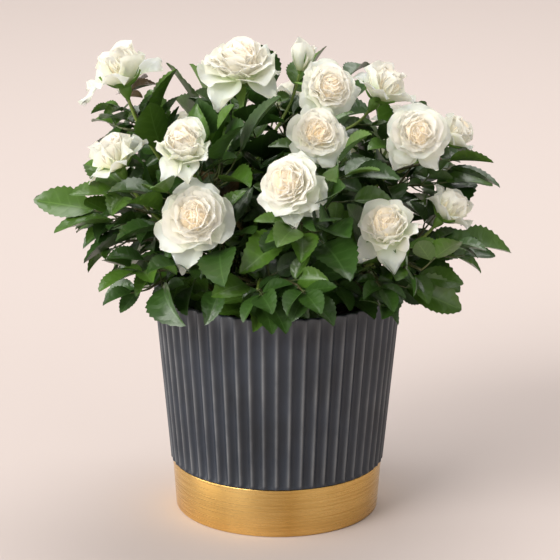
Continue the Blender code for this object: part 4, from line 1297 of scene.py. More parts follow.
# %% Growing the whole bush
started = {}
thicket = Thicket()
for mass, stem in STEMS.items():
    twigs, forks = grow_twigs(mass, stem), FORKS[mass]
    grown = Grown([stem, *forks, *twigs])
    grow_outline_leaves(mass, stem, grown)
    leafy = [(stem, 0.05, 0.8 if BLOOMS[mass] else 1)]
    leafy += [(fork, 0.25, 0.8) for fork in forks] + [(twig, 0.3, 1) for twig in twigs]
    grow_leaves(mass, grown, leafy)
    leaves = []
    for foot, leaflets in grown.leaves:
        open_ones = [leaflet for leaflet in leaflets if not veils_bloom(leaflet_grid(leaflet))]
        if open_ones and open_ones[0] is leaflets[0]:
            leaves.append((foot, open_ones))
    wood = leafy + [(LIMBS.get("bough_" + mass) or LIMBS["cane_" + ROOTS[mass][0]], 0.25, 0.98)]
    fine = fine_twigs(mass, wood)
    started[mass] = (twigs, fine, leaves, [(twig, 0.3, 1) for twig in fine] + wood)
    for _, leaflets in leaves:
        for leaflet in leaflets:
            thicket.hold(leaflet)
all_twigs = [twig for twigs, fine, _, _ in started.values() for twig in [*twigs, *fine]]
twig_spots = [np.array(runs(twig, TWIG_RADIUS * 0.6)) for twig in all_twigs]
thicket.wood = np.concatenate([LIMB_SPOTS, *MASS_SPOTS.values(), *twig_spots])
grown_leaves = {mass: list(leaves) for mass, (_, _, leaves, _) in started.items()}
first_count = thicket.count
for scale in FINE_SCALES:
    for mass, (_, _, _, leafy) in started.items():
        grown_leaves[mass] += thicket.grow(mass, leafy, scale)
print(first_count, "leaflets by the solids' rule,", thicket.count - first_count, "finer ones")

# %% [markdown]
# A twig that found no room for its last leaves would stand bare out of the crown. A gardener
# cuts it back to a bud, so each twig ends at the last leaf or finer twig that it carries.


# %% Cutting the twigs back
def cut_back(twig, feet):
    """The twig up to the last foot of anything on it, or None when it carries nothing."""
    last = None
    for index, (a, b) in enumerate(zip(twig, twig[1:])):
        for foot in feet:
            share = (foot - a).dot(b - a) / (b - a).length_squared
            on_twig = 0 <= share <= 1 and (blend(a, b, share) - foot).length < 0.05 * MM
            if on_twig and (index, share) != (0, 0) and (last is None or (index, share) > last[:2]):
                last = (index, share, foot)
    return [*twig[: last[0] + 1], last[2]] if last else None


MASSES = {}
for mass, (twigs, fine, _, _) in started.items():
    feet = [foot for foot, _ in grown_leaves[mass]]
    fine = [twig for twig in (cut_back(twig, feet) for twig in fine) if twig]
    feet += [twig[0] for twig in fine]
    twigs = [twig for twig in (cut_back(twig, feet) for twig in twigs) if twig]
    MASSES[mass] = (twigs, fine, grown_leaves[mass])
print(sum(len(twigs) + len(fine) for twigs, fine, _ in MASSES.values()), "twigs are left")

# %% [markdown]
# ## Wood
#
# All of the wood is round. A curve with a round bevel gives such a tube along any line, with a
# radius of its own at each point. The curve is turned into a mesh at once, because only a mesh
# can be pressed into or joined.


# %% Round wood
def tube_mesh(name, lines, resolution, smooth):
    """One mesh of round tubes, from runs of points and their radii.

    The resolution rounds the section, and each stretch has smooth steps along it.
    """
    curve = bpy.data.curves.new(name, "CURVE")
    curve.dimensions = "3D"
    curve.bevel_depth = 1
    curve.bevel_resolution = resolution
    curve.use_fill_caps = True
    curve.resolution_u = smooth
    for points, radii in lines:
        spline = curve.splines.new("BEZIER")
        spline.bezier_points.add(len(points) - 1)
        for knot, place, radius in zip(spline.bezier_points, points, radii):
            knot.co, knot.radius = place, radius
            knot.handle_left_type = knot.handle_right_type = "AUTO"
    guide = bpy.data.objects.new(name, curve)
    bpy.context.scene.collection.objects.link(guide)
    graph = bpy.context.evaluated_depsgraph_get()
    mesh = bpy.data.meshes.new_from_object(guide.evaluated_get(graph))
    bpy.data.objects.remove(guide)
    bm = bmesh.new()
    bm.from_mesh(mesh)
    bmesh.ops.remove_doubles(bm, verts=bm.verts, dist=1e-6)
    bm.to_mesh(mesh)
    bm.free()
    return mesh


print("round wood is ready for", len(LIMBS) + len(STEMS), "limbs and stems")

# %% [markdown]
# Canes and boughs are green wood with a waxy skin. A smooth tube would look like wire, so each
# swells a little at the nodes where leaves once stood, noise presses long shallow furrows into
# its skin, and a few prickles whose points lean down the limb are set on. All of the limbs make one piece.

# %% Canes and boughs with their relief
NODE_GAP = 17 * MM
LIMB_STEP = 1.2 * MM
FURROW = 0.13 * MM


def spread_points(points, radii, step):
    """A run of points and radii divided into shorter steps, swollen at the nodes."""
    places, sizes, travelled = [], [], 0
    for a, b, ra, rb in zip(points, points[1:], radii, radii[1:]):
        count = max(1, round((b - a).length / step))
        for i in range(count):
            places.append(blend(a, b, i / count))
            node = abs(math.sin(math.pi * travelled / NODE_GAP)) ** 24
            sizes.append(blend(ra, rb, i / count) * (0.97 + 0.16 * node))
            travelled += (b - a).length / count
    return [*places, points[-1]], [*sizes, radii[-1]]


def add_prickle(bm, place, along, outwards, size):
    """A small cone whose point leans down the limb."""
    cone = bmesh.ops.create_cone(
        bm, cap_ends=True, segments=6, radius1=0.42 * size, radius2=0.02 * size, depth=1.7 * size
    )["verts"]
    bmesh.ops.scale(bm, verts=cone, vec=(1, 1.9, 1))
    lean = (outwards - along * 0.35).normalized()
    side = along.cross(lean).normalized()
    stand = Matrix((side, lean.cross(side), lean)).transposed().to_4x4()
    stand.translation = place + lean * size * 0.6
    bmesh.ops.transform(bm, matrix=stand, verts=cone)


limb_lines = [spread_points(points, limb_radii(name, points), LIMB_STEP) for name, points in LIMBS.items()]
limb_mesh = tube_mesh("limbs", limb_lines, resolution=3, smooth=1)
limb_bm = bmesh.new()
limb_bm.from_mesh(limb_mesh)
limb_bm.normal_update()
for vert in limb_bm.verts:
    spot = Vector((vert.co.x * 900, vert.co.y * 900, vert.co.z * 160))
    vert.co += vert.normal * FURROW * (noise.noise(spot) * 1.4 - 0.2)
chance = random.Random("prickles")
for name, points in LIMBS.items():
    radius, prickles = (CANE_RADIUS, 5) if name.startswith("cane") else (BOUGH_RADIUS, 3)
    for _ in range(prickles):
        place, along = point_along(points, chance.uniform(0.25, 0.9))
        outwards = Matrix.Rotation(chance.uniform(0, 2 * math.pi), 3, along) @ across(along, UP)
        add_prickle(limb_bm, place + outwards * radius * 0.7, along, outwards, chance.uniform(0.7, 1.1) * MM)
bark, *_ = finish(
    "green_bark_finish", paint(92, 104, 52), paint(108, 84, 52),
    scale=90, contrast=2.4, grain=700, bump=0.25 * MM,
    settings={"Roughness": 0.5, "Specular IOR Level": 0.45}, stretch=(1, 1, 0.35),
)
dressed("canes_and_boughs", mesh_from("canes_and_boughs", limb_bm), [bark], CANES + BOUGHS)

# %% [markdown]
# A compound leaf has one main stalk, with its leaflets standing on it in pairs and one at the
# end. The rule grows them all from one node, which is quick to test, so the second pair's
# stalk is moved back along the main one here, while its leaflets' tips stay in place.

# %% Leaf stalks
STALK_FOOT, STALK_TIP, RIB_RADIUS = 0.62 * MM, 0.42 * MM, 0.3 * MM
PAIR_STEP = 9 * MM  # between the two pairs of a whole leaf
LATERAL_STALK, TERMINAL_STALK = 1.0 * MM, 5.0 * MM


def leaf_size(leaf):
    return leaf[1][0][3] / TERMINAL_LENGTH


def is_second_pair(leaf, leaflet):
    """The rule grows all leaflets from one node; the lower pair really stands further back."""
    return leaflet[1].dot(leaf[1][0][1]) < 0


def blade_seat(leaf, leaflet):
    """Where a leaflet's own stalk leaves the main one, and the vector from there to its tip."""
    node, heading, _, length = leaflet
    tip = node + heading * length
    back = PAIR_STEP * leaf_size(leaf) if is_second_pair(leaf, leaflet) else 0
    seat = node - leaf[1][0][1] * back
    return seat, tip - seat


def stalk_length(leaf, leaflet):
    return (TERMINAL_STALK if leaflet is leaf[1][0] else LATERAL_STALK) * leaf_size(leaf)


def stalk_lines(leaf):
    """The main stalk from the twig to the node, and a short one for each leaflet."""
    foot, leaflets = leaf
    node, _, face, _ = leaflets[0]
    sag = -face * (node - foot).length * 0.05
    lines = [([foot, blend(foot, node, 0.5) + sag, node], [STALK_FOOT, STALK_TIP * 1.1, STALK_TIP])]
    for leaflet in leaflets:
        seat, ahead = blade_seat(leaf, leaflet)
        end = seat + ahead.normalized() * (stalk_length(leaf, leaflet) + 1 * MM)
        lines.append(([seat, end], [STALK_TIP, RIB_RADIUS]))
    return lines


stalks = [line for _, _, leaves in MASSES.values() for leaf in leaves for line in stalk_lines(leaf)]
print(len(stalks), "leaf stalks")

# %% [markdown]
# Stems, twigs and stalks are slim and smooth, and there are hundreds of them. Each kind is one
# curve of many splines, with a round section of six or eight sides. The young stems under the
# blooms are the brightest green, and older twigs are dull and brownish.

# %% Stems, twigs and stalks
stem_lines, twig_lines = [], []
for mass, stem in STEMS.items():
    twigs, fine, _ = MASSES[mass]
    stem_lines.append((stem, taper(STEM_RADIUS, TIP_RADIUS, len(stem))))
    stem_lines += [(fork, taper(TWIG_RADIUS, TIP_RADIUS * 0.8, len(fork))) for fork in FORKS[mass]]
    twig_lines += [(twig, taper(TWIG_RADIUS, TIP_RADIUS * 0.8, len(twig))) for twig in twigs]
    twig_lines += [(twig, taper(TWIG_RADIUS * 0.8, TIP_RADIUS * 0.6, len(twig))) for twig in fine]
stem_skin, *_ = finish(
    "young_stem_finish", paint(104, 132, 52), paint(126, 142, 66),
    scale=70, contrast=2.0, grain=800, bump=0.1 * MM,
    settings={"Roughness": 0.42, "Specular IOR Level": 0.5},
)
twig_skin, *_ = finish(
    "twig_finish", paint(66, 80, 40), paint(78, 62, 42),
    scale=90, contrast=2.0, grain=800, bump=0.1 * MM,
    settings={"Roughness": 0.5, "Specular IOR Level": 0.45},
)
stalk_skin, *_ = finish(
    "leaf_stalk_finish", paint(66, 90, 42), paint(84, 80, 46),
    scale=60, contrast=2.0, grain=900, bump=0.08 * MM,
    settings={"Roughness": 0.45, "Specular IOR Level": 0.5},
)
stem_mesh = tube_mesh("stems", stem_lines, resolution=2, smooth=4)
twig_mesh = tube_mesh("twigs", twig_lines, resolution=2, smooth=4)
stalk_mesh = tube_mesh("stalks", stalks, resolution=1, smooth=2)
dressed("flower_stems", stem_mesh, [stem_skin], FOLIAGE)
dressed("twigs", twig_mesh, [twig_skin], FOLIAGE)
dressed("leaf_stalks", stalk_mesh, [stalk_skin], FOLIAGE)

# %% [markdown]
# ## Leaves
#
# A rose leaflet is an oval with fine teeth. Its two halves rise from the midrib, its tip
# hangs, and the skin is slightly quilted between the side veins. A textured card would do
# from afar, but its edge and its shine would be wrong. So a grid is shaped into a thin closed
# blade, top and underside welded along a toothed rim, in six variants that the whole bush uses.

# %% The blank of a thin blade
def blank_blade(rows, columns, fine):
    """A flat closed blade: x is the share along it, y runs from -1 to 1, z marks the side."""
    bm = bmesh.new()
    bmesh.ops.create_grid(bm, x_segments=rows, y_segments=columns, size=0.5)
    rim_edges = [edge for edge in bm.edges if edge.is_boundary]
    if fine == "sides":
        rim_edges = [edge for edge in rim_edges if edge.verts[0].co.y == edge.verts[1].co.y]
    bmesh.ops.subdivide_edges(bm, edges=rim_edges, cuts=1, quad_corner_type="FAN")
    rim = {vert for edge in bm.edges if edge.is_boundary for vert in edge.verts}
    for vert in bm.verts:
        vert.co = (vert.co.x + 0.5, vert.co.y * 2, 0 if vert in rim else 1)
    uv = bm.loops.layers.uv.new("blade")
    for face in bm.faces:
        for loop in face.loops:
            loop[uv].uv = (loop.vert.co.x, loop.vert.co.y / 2 + 0.5)
    made = bmesh.ops.duplicate(bm, geom=bm.verts[:] + bm.edges[:] + bm.faces[:])["geom"]
    under = [part for part in made if isinstance(part, bmesh.types.BMFace)]
    for face in under:
        face.material_index = 1
    for vert in {vert for face in under for vert in face.verts}:
        vert.co.z *= -1
    bmesh.ops.reverse_faces(bm, faces=under)
    if fine == "sides":
        inner = [
            edge for edge in {edge for face in under for edge in face.edges}
            if edge.verts[0].co.y == edge.verts[1].co.y and 0.1 < abs(edge.verts[0].co.y) < 0.9
        ]
        loose = {vert for edge in inner for vert in edge.verts if vert.co.z}
        bmesh.ops.dissolve_edges(bm, edges=inner)
        bmesh.ops.dissolve_verts(bm, verts=list(loose))
    bmesh.ops.remove_doubles(bm, verts=bm.verts, dist=1e-5)
    for edge in bm.edges:
        edge.smooth = edge.link_faces[0].material_index == edge.link_faces[1].material_index
    return mesh_from("blade", bm)


LEAF_ROWS, LEAF_COLUMNS = 10, 4
leaf_blank = blank_blade(LEAF_ROWS, LEAF_COLUMNS, "sides")
print("leaf blank:", len(leaf_blank.polygons), "faces")

# %% [markdown]
# The blank is pressed into a leaflet by moving its points: out to the toothed oval, up along
# the fold, down along the droop, and in and out where the side veins pull the skin.

# %% Six leaflets
LEAFLET_RATIO = 0.6  # of its own blade's length
VEIN_PAIRS = 6
TOOTH = 0.05
BLADE_THICKNESS = 0.008  # of its length, at its thickest


def leaflet_variant(fold, droop, twist, wave, phase):
    """A leaflet one unit long along X, its upper side towards Z."""
    mesh = leaf_blank.copy()
    for vert in mesh.vertices:
        share, hand, side = vert.co
        step = round(share * LEAF_ROWS * 2)
        wide = LEAFLET_RATIO / 2 * math.sin(math.pi * share**0.84) ** 0.78 if 0 < share < 1 else 0
        edge = abs(hand)
        if edge > 0.99 and 1 < step < 2 * LEAF_ROWS:
            wide *= 1 + (TOOTH if step % 2 else -TOOTH)
            share += 0.014 if step % 2 else 0
        vein = math.sin(2 * math.pi * (VEIN_PAIRS * share - edge * 1.1))
        quilt = 0.012 * vein * math.sin(math.pi * min(edge, 0.98)) * (1 if share < 0.9 else 0.3)
        rise = fold * edge * wide * 2 - droop * share**2 + quilt
        rise += wave * edge * math.sin(5 * share + phase + (2 if hand > 0 else 0))
        roll = twist * share * share
        y, z = hand * wide, side * BLADE_THICKNESS / 2 * (1 - share * 0.5) + rise
        vert.co = (
            share - 0.35 * droop * share**2,
            y * math.cos(roll) - z * math.sin(roll),
            y * math.sin(roll) + z * math.cos(roll),
        )
    return mesh


LEAFLET_VARIANTS = [
    leaflet_variant(*values)
    for values in (  # fold, droop, twist, wave, phase
        (0.22, 0.15, 0.15, 0.012, 0.0), (0.34, 0.20, -0.2, 0.018, 1.1), (0.14, 0.10, 0.3, 0.022, 2.3),
        (0.42, 0.26, -0.35, 0.014, 3.0), (0.20, 0.17, -0.1, 0.026, 4.1), (0.28, 0.12, 0.45, 0.016, 5.2),
    )
]
print(len(LEAFLET_VARIANTS), "leaflet variants")

# %% [markdown]
# The upper side is dark and glossy, the underside dull and greyer. Pale veins follow the
# blade's own UV map: a midrib, and side veins that slant towards the tip. This pattern is a
# node group, because all the leaf colours and their undersides use it.


# %% Leaf greens
def make_veins():
    group, given, result = new_group("veins", [("UV", "Vector")], [("Mask", "Float")])
    nodes, links = group.nodes, group.links
    split = nodes.new("ShaderNodeSeparateXYZ")
    links.new(given.outputs["UV"], split.inputs["Vector"])
    hand = maths(nodes, links, "ABSOLUTE", maths(nodes, links, "SUBTRACT", split.outputs["Y"], 0.5))
    midrib = maths(nodes, links, "LESS_THAN", hand, 0.022)
    slanted = maths(nodes, links, "MULTIPLY", split.outputs["X"], float(VEIN_PAIRS))
    slanted = maths(nodes, links, "SUBTRACT", slanted, maths(nodes, links, "MULTIPLY", hand, 2.2))
    wave = maths(nodes, links, "SINE", maths(nodes, links, "MULTIPLY", slanted, 2 * math.pi))
    halved = maths(nodes, links, "MULTIPLY", maths(nodes, links, "ADD", wave, 1.0), 0.5)
    ridge = maths(nodes, links, "POWER", halved, 9.0)
    faded = maths(nodes, links, "MULTIPLY", ridge, maths(nodes, links, "SUBTRACT", 0.55, hand))
    links.new(maths(nodes, links, "MAXIMUM", midrib, faded), result.inputs["Mask"])
    return group


VEINS = make_veins()


def leaf_finish(name, first, second, vein, strength, settings):
    """A leaf material: mottled green with paler veins."""
    material, nodes, links, shader, mottle, _ = finish(
        name, first, second, scale=34, contrast=1.8, grain=420, bump=0.05 * MM, settings=settings
    )
    uv = nodes.new("ShaderNodeUVMap")
    uv.uv_map = "blade"
    veins = placed(nodes, VEINS)
    links.new(uv.outputs["UV"], veins.inputs["UV"])
    share = maths(nodes, links, "MULTIPLY", veins.outputs["Mask"], strength)
    links.new(mixed(nodes, links, share, mottle.outputs["Color"], vein), shader.inputs["Base Color"])
    return material


GLOSSY = {"Roughness": 0.36, "Specular IOR Level": 0.5, "Coat Weight": 0.16, "Coat Roughness": 0.22}
DULL = {"Roughness": 0.62, "Specular IOR Level": 0.3}
LEAF_KINDS = {
    "deep": (paint(37, 65, 22), paint(54, 85, 28), paint(78, 110, 56), paint(96, 124, 84)),
    "mid": (paint(61, 95, 28), paint(82, 116, 37), paint(104, 140, 66), paint(112, 140, 90)),
    "young": (paint(80, 120, 36), paint(100, 134, 46), paint(138, 162, 76), paint(126, 150, 86)),
    "bronze": (paint(74, 66, 38), paint(96, 70, 44), paint(124, 112, 72), paint(104, 92, 66)),
}
LEAF_FINISHES = {}
for kind, (first, second, vein, under) in LEAF_KINDS.items():
    upper = leaf_finish(f"leaf_{kind}_upper", first, second, vein, 0.55, GLOSSY)
    lower = leaf_finish(f"leaf_{kind}_underside", under, second, vein, 0.6, DULL)
    LEAF_FINISHES[kind] = [upper, lower]
print("leaf finishes:", ", ".join(LEAF_FINISHES))

# %% [markdown]
# Colour goes by spray, not by place: each compound leaf draws one of the greens, mostly the
# deep one. A few leaves are young and light, or still bronze, but never a large one. Copies of
# the variants are turned into place and joined, one piece for each green.

# %% Joining the leaves
LARGE_LEAF = 0.7  # such a leaf is old, so it is neither young nor bronze
KIND_SHARES = (("bronze", 0.012), ("young", 0.06), ("mid", 0.34), ("deep", 1.01))  # up to that share


def place_leaflet(bm, leaf, leaflet, chance):
    """One leaflet from a variant, on its stalk, its tip where the rule put it."""
    seat, ahead = blade_seat(leaf, leaflet)
    heading = ahead.normalized()
    stalk = stalk_length(leaf, leaflet)
    length = ahead.length - stalk
    node = seat + heading * stalk
    stand = leaflet_frame((node, heading, across(heading, leaflet[2]), length)) @ Matrix.Scale(length, 4)
    copy = chance.choice(LEAFLET_VARIANTS).copy()
    if chance.random() < 0.5:
        copy.transform(Matrix.Diagonal((1, -1, 1, 1)))
        copy.flip_normals()
    copy.transform(stand)
    bm.from_mesh(copy)
    bpy.data.meshes.remove(copy)


leaf_bms = {kind: bmesh.new() for kind in LEAF_KINDS}
for mass, (_, _, leaves) in MASSES.items():
    chance = random.Random(f"{mass} colours")
    for leaf in leaves:
        draw = chance.random()
        kind = next(name for name, last in KIND_SHARES if draw < last)
        if leaf_size(leaf) > LARGE_LEAF and kind in ("bronze", "young"):
            kind = "mid"
        for leaflet in leaf[1]:
            place_leaflet(leaf_bms[kind], leaf, leaflet, chance)
for kind, bm in leaf_bms.items():
    dressed(f"leaves_{kind}", mesh_from(f"leaves_{kind}", bm), LEAF_FINISHES[kind], FOLIAGE)

# %% [markdown]
# ## Blooms
#
# A double rose is a spiral of petals round a tight heart. Each petal leaves the receptacle
# steeply and bends outwards, the outer ones more than the inner. Seen from the side it is an
# arc whose lip curls over. Seen from the front it has one of three outlines: a broad petal
# with a small point, the oval of a petal that has dropped, and the long point of a sepal.

# %% Arcs and outlines
PETAL_ROWS, PETAL_COLUMNS = 6, 6
petal_blank = blank_blade(PETAL_ROWS, PETAL_COLUMNS, "rim")
PETAL_THICKNESS = 0.45 * MM


def bent_line(length, first, last, lip, steps=24):
    """Points (out, up) and rises along an arc that leaves at one rise and arrives at another."""
    line, out, high = [], 0.0, 0.0
    for step in range(steps + 1):
        share = step / steps
        rise = math.radians(first + (last - first) * share - lip * max(0, (share - 0.62) / 0.38) ** 1.6)
        line.append((out, high, rise))
        out += math.cos(rise) * length / steps
        high += math.sin(rise) * length / steps
    return line


def petal_outline(share, edge, tip):
    """Half of a broad petal's width, and how far its lip reaches, with a small point in the middle."""
    reach = 1 - tip - 0.28 * edge**2.4 + tip * max(0, 1 - edge * 1.6) ** 2
    return 0.30 + 0.70 * math.sin(math.pi / 2 * share**0.75), reach


def dropped_outline(share, edge, tip):
    """Half of a dropped petal's width: an oval with a blunt point."""
    return 0.22 + 0.78 * math.sin(math.pi * min(1, share) ** 1.2) ** 0.8, 1 - 0.2 * edge**2


def sepal_outline(share, edge, tip):
    """Half of a sepal's width: it narrows to a long point."""
    return (0.75 + 0.5 * math.sin(math.pi * min(1, share * 1.6))) * (1 - share) ** 0.75 + 0.05, 1


print("petal blank:", len(petal_blank.polygons), "faces")

# %% [markdown]
# A petal is the blank blade bent along such an arc. Its sides cup in around the heart, its rim
# rolls out and ruffles, and its point may sit a little askew. A dictionary names the numbers
# of each petal, so that the three kinds can share one function.


# %% Bending a blade
def add_blade(bm, stand, blank, shape, outline=petal_outline):
    """A petal or sepal on its bloom, from the numbers of its shape."""
    line = bent_line(shape["length"], shape["first"], shape["last"], shape["lip"])
    turn = Matrix.Rotation(shape["turn"], 3, "Z")
    copy = blank.copy()
    for vert in copy.vertices:
        share, hand, side = vert.co
        wide, reach = outline(share, abs(hand), shape["tip"])
        place = min(share * (reach + shape["skew"] * hand), 1) * (len(line) - 1)
        index = min(int(place), len(line) - 2)
        a, b = line[index], line[index + 1]
        out, high, rise = (blend(p, q, place - index) for p, q in zip(a, b))
        wide *= shape["wide"]
        roll = max(0, abs(hand) - 0.55) ** 2 * share * shape["roll"] * 4
        inwards = wide * (shape["cup"] * hand**2 - roll)
        inwards += shape["ruffle"] * share**2 * math.sin(hand * 3.6 + shape["phase"])
        inwards += shape["ruffle"] * share**4 * 0.8 * math.sin(hand * 7.3 + shape["phase"] * 2)
        inwards += side * PETAL_THICKNESS / 2 * (1 - share * 0.4)
        out += shape["out"] - math.sin(rise) * inwards
        high += shape["high"] + math.cos(rise) * inwards
        vert.co = turn @ Vector((out, hand * wide, high))
    copy.transform(stand)
    bm.from_mesh(copy)
    bpy.data.meshes.remove(copy)


print("a petal is", PETAL_THICKNESS / MM, "mm thick")

# %% [markdown]
# The states of bloom come from pairs of those numbers, one for the heart and one for the rim:
# an open rosette, a full bowl, a cup whose outermost petals have spread, and a bud. Lengths are
# shares of half the bloom's width, so that small and large blooms keep their proportions.

# %% Four states of bloom
# petals, how many of them have spread and how far, then (heart, rim) for:
# first rise, last rise, length, half width, out, high, cup, lip, roll
BLOOM_STATES = {
    "rosette": (
        56, 6, 24, (84, 50), (146, 18), (0.86, 0.90), (0.30, 0.60),
        (0.05, 0.2), (-0.30, -0.5), (1.0, 0.5), (0, 40), (0, 0.5),
    ),
    "bowl": (
        48, 2, 24, (84, 40), (146, 76), (0.94, 1.08), (0.30, 0.58),
        (0.05, 0.2), (-0.38, -0.6), (1.0, 0.5), (0, 40), (0, 0.4),
    ),
    "cup": (
        36, 4, 62, (88, 52), (104, 84), (0.70, 1.06), (0.30, 0.62),
        (0.03, 0.15), (-0.36, -0.56), (1.0, 0.6), (0, 46), (0, 0.7),
    ),
    "bud": (
        16, 2, 16, (88, 56), (96, 100), (1.3, 1.6), (0.4, 0.72),
        (0.04, 0.24), (-0.66, -0.7), (1.1, 0.8), (0, 26), (0, 0.3),
    ),
}
RINGS = (("heart", 0.2), ("warm", 0.5), ("cream", 0.86), ("guard", 1.01))  # up to that share
GOLDEN = math.radians(137.5)
print("states of bloom:", ", ".join(BLOOM_STATES))

# %% [markdown]
# Petals follow each other by the same turn as leaves do. No two on a real bloom are alike, so
# each number is varied a little by chance, and the whole bloom is made slightly uneven round
# its axis. The four rings are kept apart, because their colours differ.


# %% Setting the petals
def bloom_stand(bloom):
    """The bloom's frame: Z is the way that it faces."""
    heading, reach, height, _, facing, rise, _, _ = bloom
    stand = way(facing, rise).to_track_quat("Z", "Y").to_matrix().to_4x4()
    stand.translation = polar(heading, reach, height)
    return stand


def petal_shape(state, index, half, chance):
    """The numbers of one petal, which lies some share of the way from the heart to the rim."""
    count, spread_count, spread, *pairs = BLOOM_STATES[state]
    share = index / (count - 1)
    first, last, length, wide, out, high, cup, lip, roll = (blend(a, b, share) for a, b in pairs)
    opened = spread * min(1, max(0, index + spread_count + 1 - count) / 3)
    turn = index * GOLDEN + chance.uniform(-0.25, 0.25)
    uneven = 1 + 0.08 * math.sin(2 * turn + half * 4000) + 0.05 * math.sin(3 * turn + half * 9000)
    return {
        "turn": turn,
        "first": first - opened * 0.5 + chance.uniform(-4, 4),
        "last": last - opened + chance.uniform(-13, 13),
        "length": half * length * uneven * chance.uniform(0.93, 1.07),
        "wide": half * wide * chance.uniform(0.86, 1.1), "out": half * out, "high": half * high,
        "cup": cup, "lip": lip * chance.uniform(0.4, 1.3), "roll": roll * chance.uniform(0.4, 1.9),
        "ruffle": half * (0.03 + 0.09 * share) * chance.uniform(0.4, 1), "phase": chance.uniform(0, 6),
        "tip": 0.07 * share * chance.uniform(0, 1), "skew": chance.uniform(-0.05, 0.05),
    }


petal_bms = {ring: bmesh.new() for ring, _ in RINGS}
sepal_bm = bmesh.new()
for mass, group in BLOOMS.items():
    for number, bloom in enumerate(group):
        chance = random.Random(f"{mass} bloom {number}")
        state, half, stand = bloom[6], bloom[3] * MM / 2, bloom_stand(bloom)
        count = BLOOM_STATES[state][0]
        for index in range(count):
            ring = next(name for name, last in RINGS if index / (count - 1) < last)
            add_blade(petal_bms[ring], stand, petal_blank, petal_shape(state, index, half, chance))
print({ring: len(bm.faces) for ring, bm in petal_bms.items()})

# %% [markdown]
# Some guard petals have dropped away from their bloom and hang outwards below it, a little to
# one side of each other. They are ovals that hang nearly straight, with their lips turned up.

# %% Dropped petals
DROPPED_APART = math.radians(75)


def add_dropped_petal(bm, bloom, angle, chance):
    """A guard petal that hangs outwards, at an angle from the bloom's lowest side."""
    heading, reach, height, width, facing, rise, _, _ = bloom
    up = way(facing, rise)
    outwards = Matrix.Rotation(angle, 3, up) @ across(up, -UP)
    half = width * MM / 2
    foot = polar(heading, reach, height) - up * half * 0.3 + outwards * half * 0.35
    hang = (outwards - up * 0.2 - UP * 0.3).normalized()
    side = across(hang, up).cross(hang)
    stand = Matrix((hang, side, hang.cross(side))).transposed().to_4x4()
    stand.translation = foot
    shape = {
        "turn": 0, "first": 12, "last": -22,
        "length": half * chance.uniform(1.0, 1.3), "wide": half * 0.44, "out": -half * 0.12, "high": 0,
        "cup": 0.3, "lip": -30, "roll": 0.2, "ruffle": half * 0.08, "phase": chance.uniform(0, 6),
        "tip": 0.14, "skew": chance.uniform(-0.08, 0.08),
    }
    add_blade(bm, stand, petal_blank, shape, dropped_outline)


print(sum(bloom[-1] for bloom in ALL_BLOOMS), "petals have dropped")

# %% [markdown]
# Under each bloom is the round green hip with five pointed sepals. They still clasp a bud,
# stand off a cup and are bent right back under an open rosette.

# %% Hips and sepals
# first rise, last rise, and length as a share of half the bloom's width
SEPAL_RISES = {
    "rosette": (6, -62, 0.95), "bowl": (14, 44, 0.75), "cup": (20, 60, 0.62), "bud": (44, 90, 1.15),
}
SEPALS = 5
HIP_RADIUS = 0.26


def add_hip(bm, stand, half):
    hip = bmesh.ops.create_uvsphere(bm, u_segments=14, v_segments=9, radius=1)["verts"]
    for vert in hip:
        flare = HIP_RADIUS * half * (0.55 + 0.45 * vert.co.z)
        vert.co = (vert.co.x * flare, vert.co.y * flare, (vert.co.z * 0.26 - 0.76) * half)
    bmesh.ops.transform(bm, matrix=stand, verts=hip)


for mass, group in BLOOMS.items():
    for number, bloom in enumerate(group):
        chance = random.Random(f"{mass} sepals {number}")
        state, half, stand = bloom[6], bloom[3] * MM / 2, bloom_stand(bloom)
        for dropped in range(bloom[-1]):
            turn = (dropped - (bloom[-1] - 1) / 2) * DROPPED_APART + chance.uniform(-0.4, 0.4)
            add_dropped_petal(petal_bms["guard"], bloom, turn, chance)
        add_hip(sepal_bm, stand, half)
        first, last, sepal_length = SEPAL_RISES[state]
        for index in range(SEPALS):
            shape = {
                "turn": index * 2 * math.pi / SEPALS + chance.uniform(-0.2, 0.2),
                "first": first, "last": last + chance.uniform(-15, 15),
                "length": half * sepal_length * chance.uniform(0.85, 1.1),
                "wide": half * 0.14, "out": half * 0.16, "high": -half * 0.6, "cup": 0.4,
                "lip": chance.uniform(-10, 40), "roll": 0, "ruffle": half * 0.02,
                "phase": chance.uniform(0, 6), "tip": 0, "skew": 0,
            }
            add_blade(sepal_bm, stand, petal_blank, shape, sepal_outline)
print(SEPALS * len(ALL_BLOOMS), "sepals")

# %% [markdown]
# Petals are cream, warmer towards the heart and faintly green on the outermost. The colour
# goes by ring: heart, warm, cream and guard petals are a piece each. Light passes a little
# way into a petal and comes out again, which subsurface scattering gives. Deep in the heart it
# passes from petal to petal many times, more often than a render follows it, so each ring
# glows faintly with the petal's own colour, a painted light that lightens the shade among the
# petals, most in the heart.

# %% Petal finishes
PETAL_SETTINGS = {
    "Roughness": 0.55, "Specular IOR Level": 0.3, "Sheen Weight": 0.1,
    "Subsurface Weight": 0.6, "Subsurface Scale": 0.005, "Subsurface Radius": (1.0, 0.85, 0.6),
}
# painted light: each ring glows by emission, strongest in the heart, to lighten the shade among the petals
PETAL_PAINTED_GLOW = {"heart": 0.14, "warm": 0.09, "cream": 0.055, "guard": 0.045}
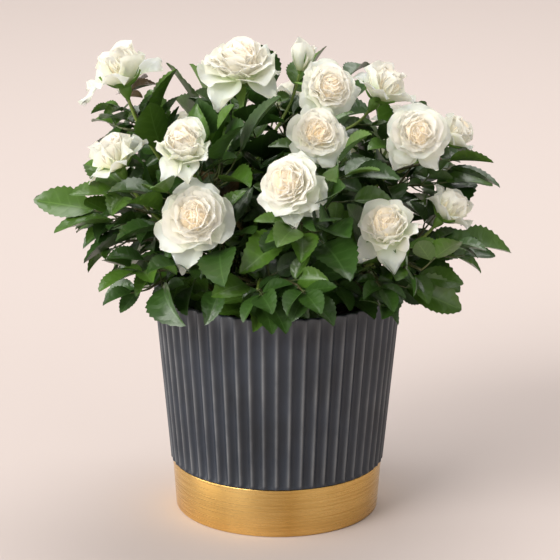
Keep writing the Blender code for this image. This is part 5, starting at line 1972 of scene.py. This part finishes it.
# two paints that mottle the petal, and the one at its foot
PETAL_PAINTS = {
    "heart": (paint(254, 242, 219), paint(253, 235, 202), paint(250, 190, 108)),
    "warm": (paint(252, 245, 231), paint(250, 240, 221), paint(248, 214, 160)),
    "cream": (paint(251, 247, 235), paint(247, 242, 226), paint(236, 230, 181)),
    "guard": (paint(249, 248, 236), paint(240, 243, 221), paint(198, 213, 140)),
}


def petal_finish(name, first, second, foot, painted_glow):
    """A petal material: two close creams, deeper towards its foot, with a faint painted glow that lightens
    its shade.
    """
    material, nodes, links, shader, mottle, _ = finish(
        name, first, second, scale=50, contrast=1.6, grain=260, bump=0.1 * MM, settings=PETAL_SETTINGS
    )
    uv, split = nodes.new("ShaderNodeUVMap"), nodes.new("ShaderNodeSeparateXYZ")
    uv.uv_map = "blade"
    links.new(uv.outputs["UV"], split.inputs["Vector"])
    from_tip = maths(nodes, links, "SUBTRACT", 1.0, split.outputs["X"])
    near_foot = maths(nodes, links, "POWER", from_tip, 2.2)
    creamy = mixed(nodes, links, near_foot, mottle.outputs["Color"], foot)
    links.new(creamy, shader.inputs["Base Color"])
    # The petal's own colour also glows faintly: painted light that lightens its shade.
    links.new(creamy, shader.inputs["Emission Color"])
    shader.inputs["Emission Strength"].default_value = painted_glow
    return material


for ring, paints in PETAL_PAINTS.items():
    petal_skin = petal_finish(f"petal_{ring}", *paints, PETAL_PAINTED_GLOW[ring])
    petals = mesh_from(f"petals_{ring}", petal_bms[ring])
    dressed(f"petals_{ring}", petals, [petal_skin, petal_skin], FOLIAGE)
sepal_skin, *_ = finish(
    "sepal_finish", paint(92, 130, 48), paint(116, 148, 66),
    scale=80, contrast=1.8, grain=600, bump=0.08 * MM,
    settings={"Roughness": 0.5, "Specular IOR Level": 0.4},
)
hips = mesh_from("hips_and_sepals", sepal_bm)
dressed("hips_and_sepals", hips, [sepal_skin, sepal_skin], FOLIAGE)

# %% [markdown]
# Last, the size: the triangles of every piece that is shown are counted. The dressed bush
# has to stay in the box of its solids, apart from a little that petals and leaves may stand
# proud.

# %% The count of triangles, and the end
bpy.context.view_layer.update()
shown = [obj for obj in bpy.data.objects if obj.type == "MESH" and not obj.hide_render]
print("triangles:", sum(len(obj.data.loop_triangles) for obj in shown))
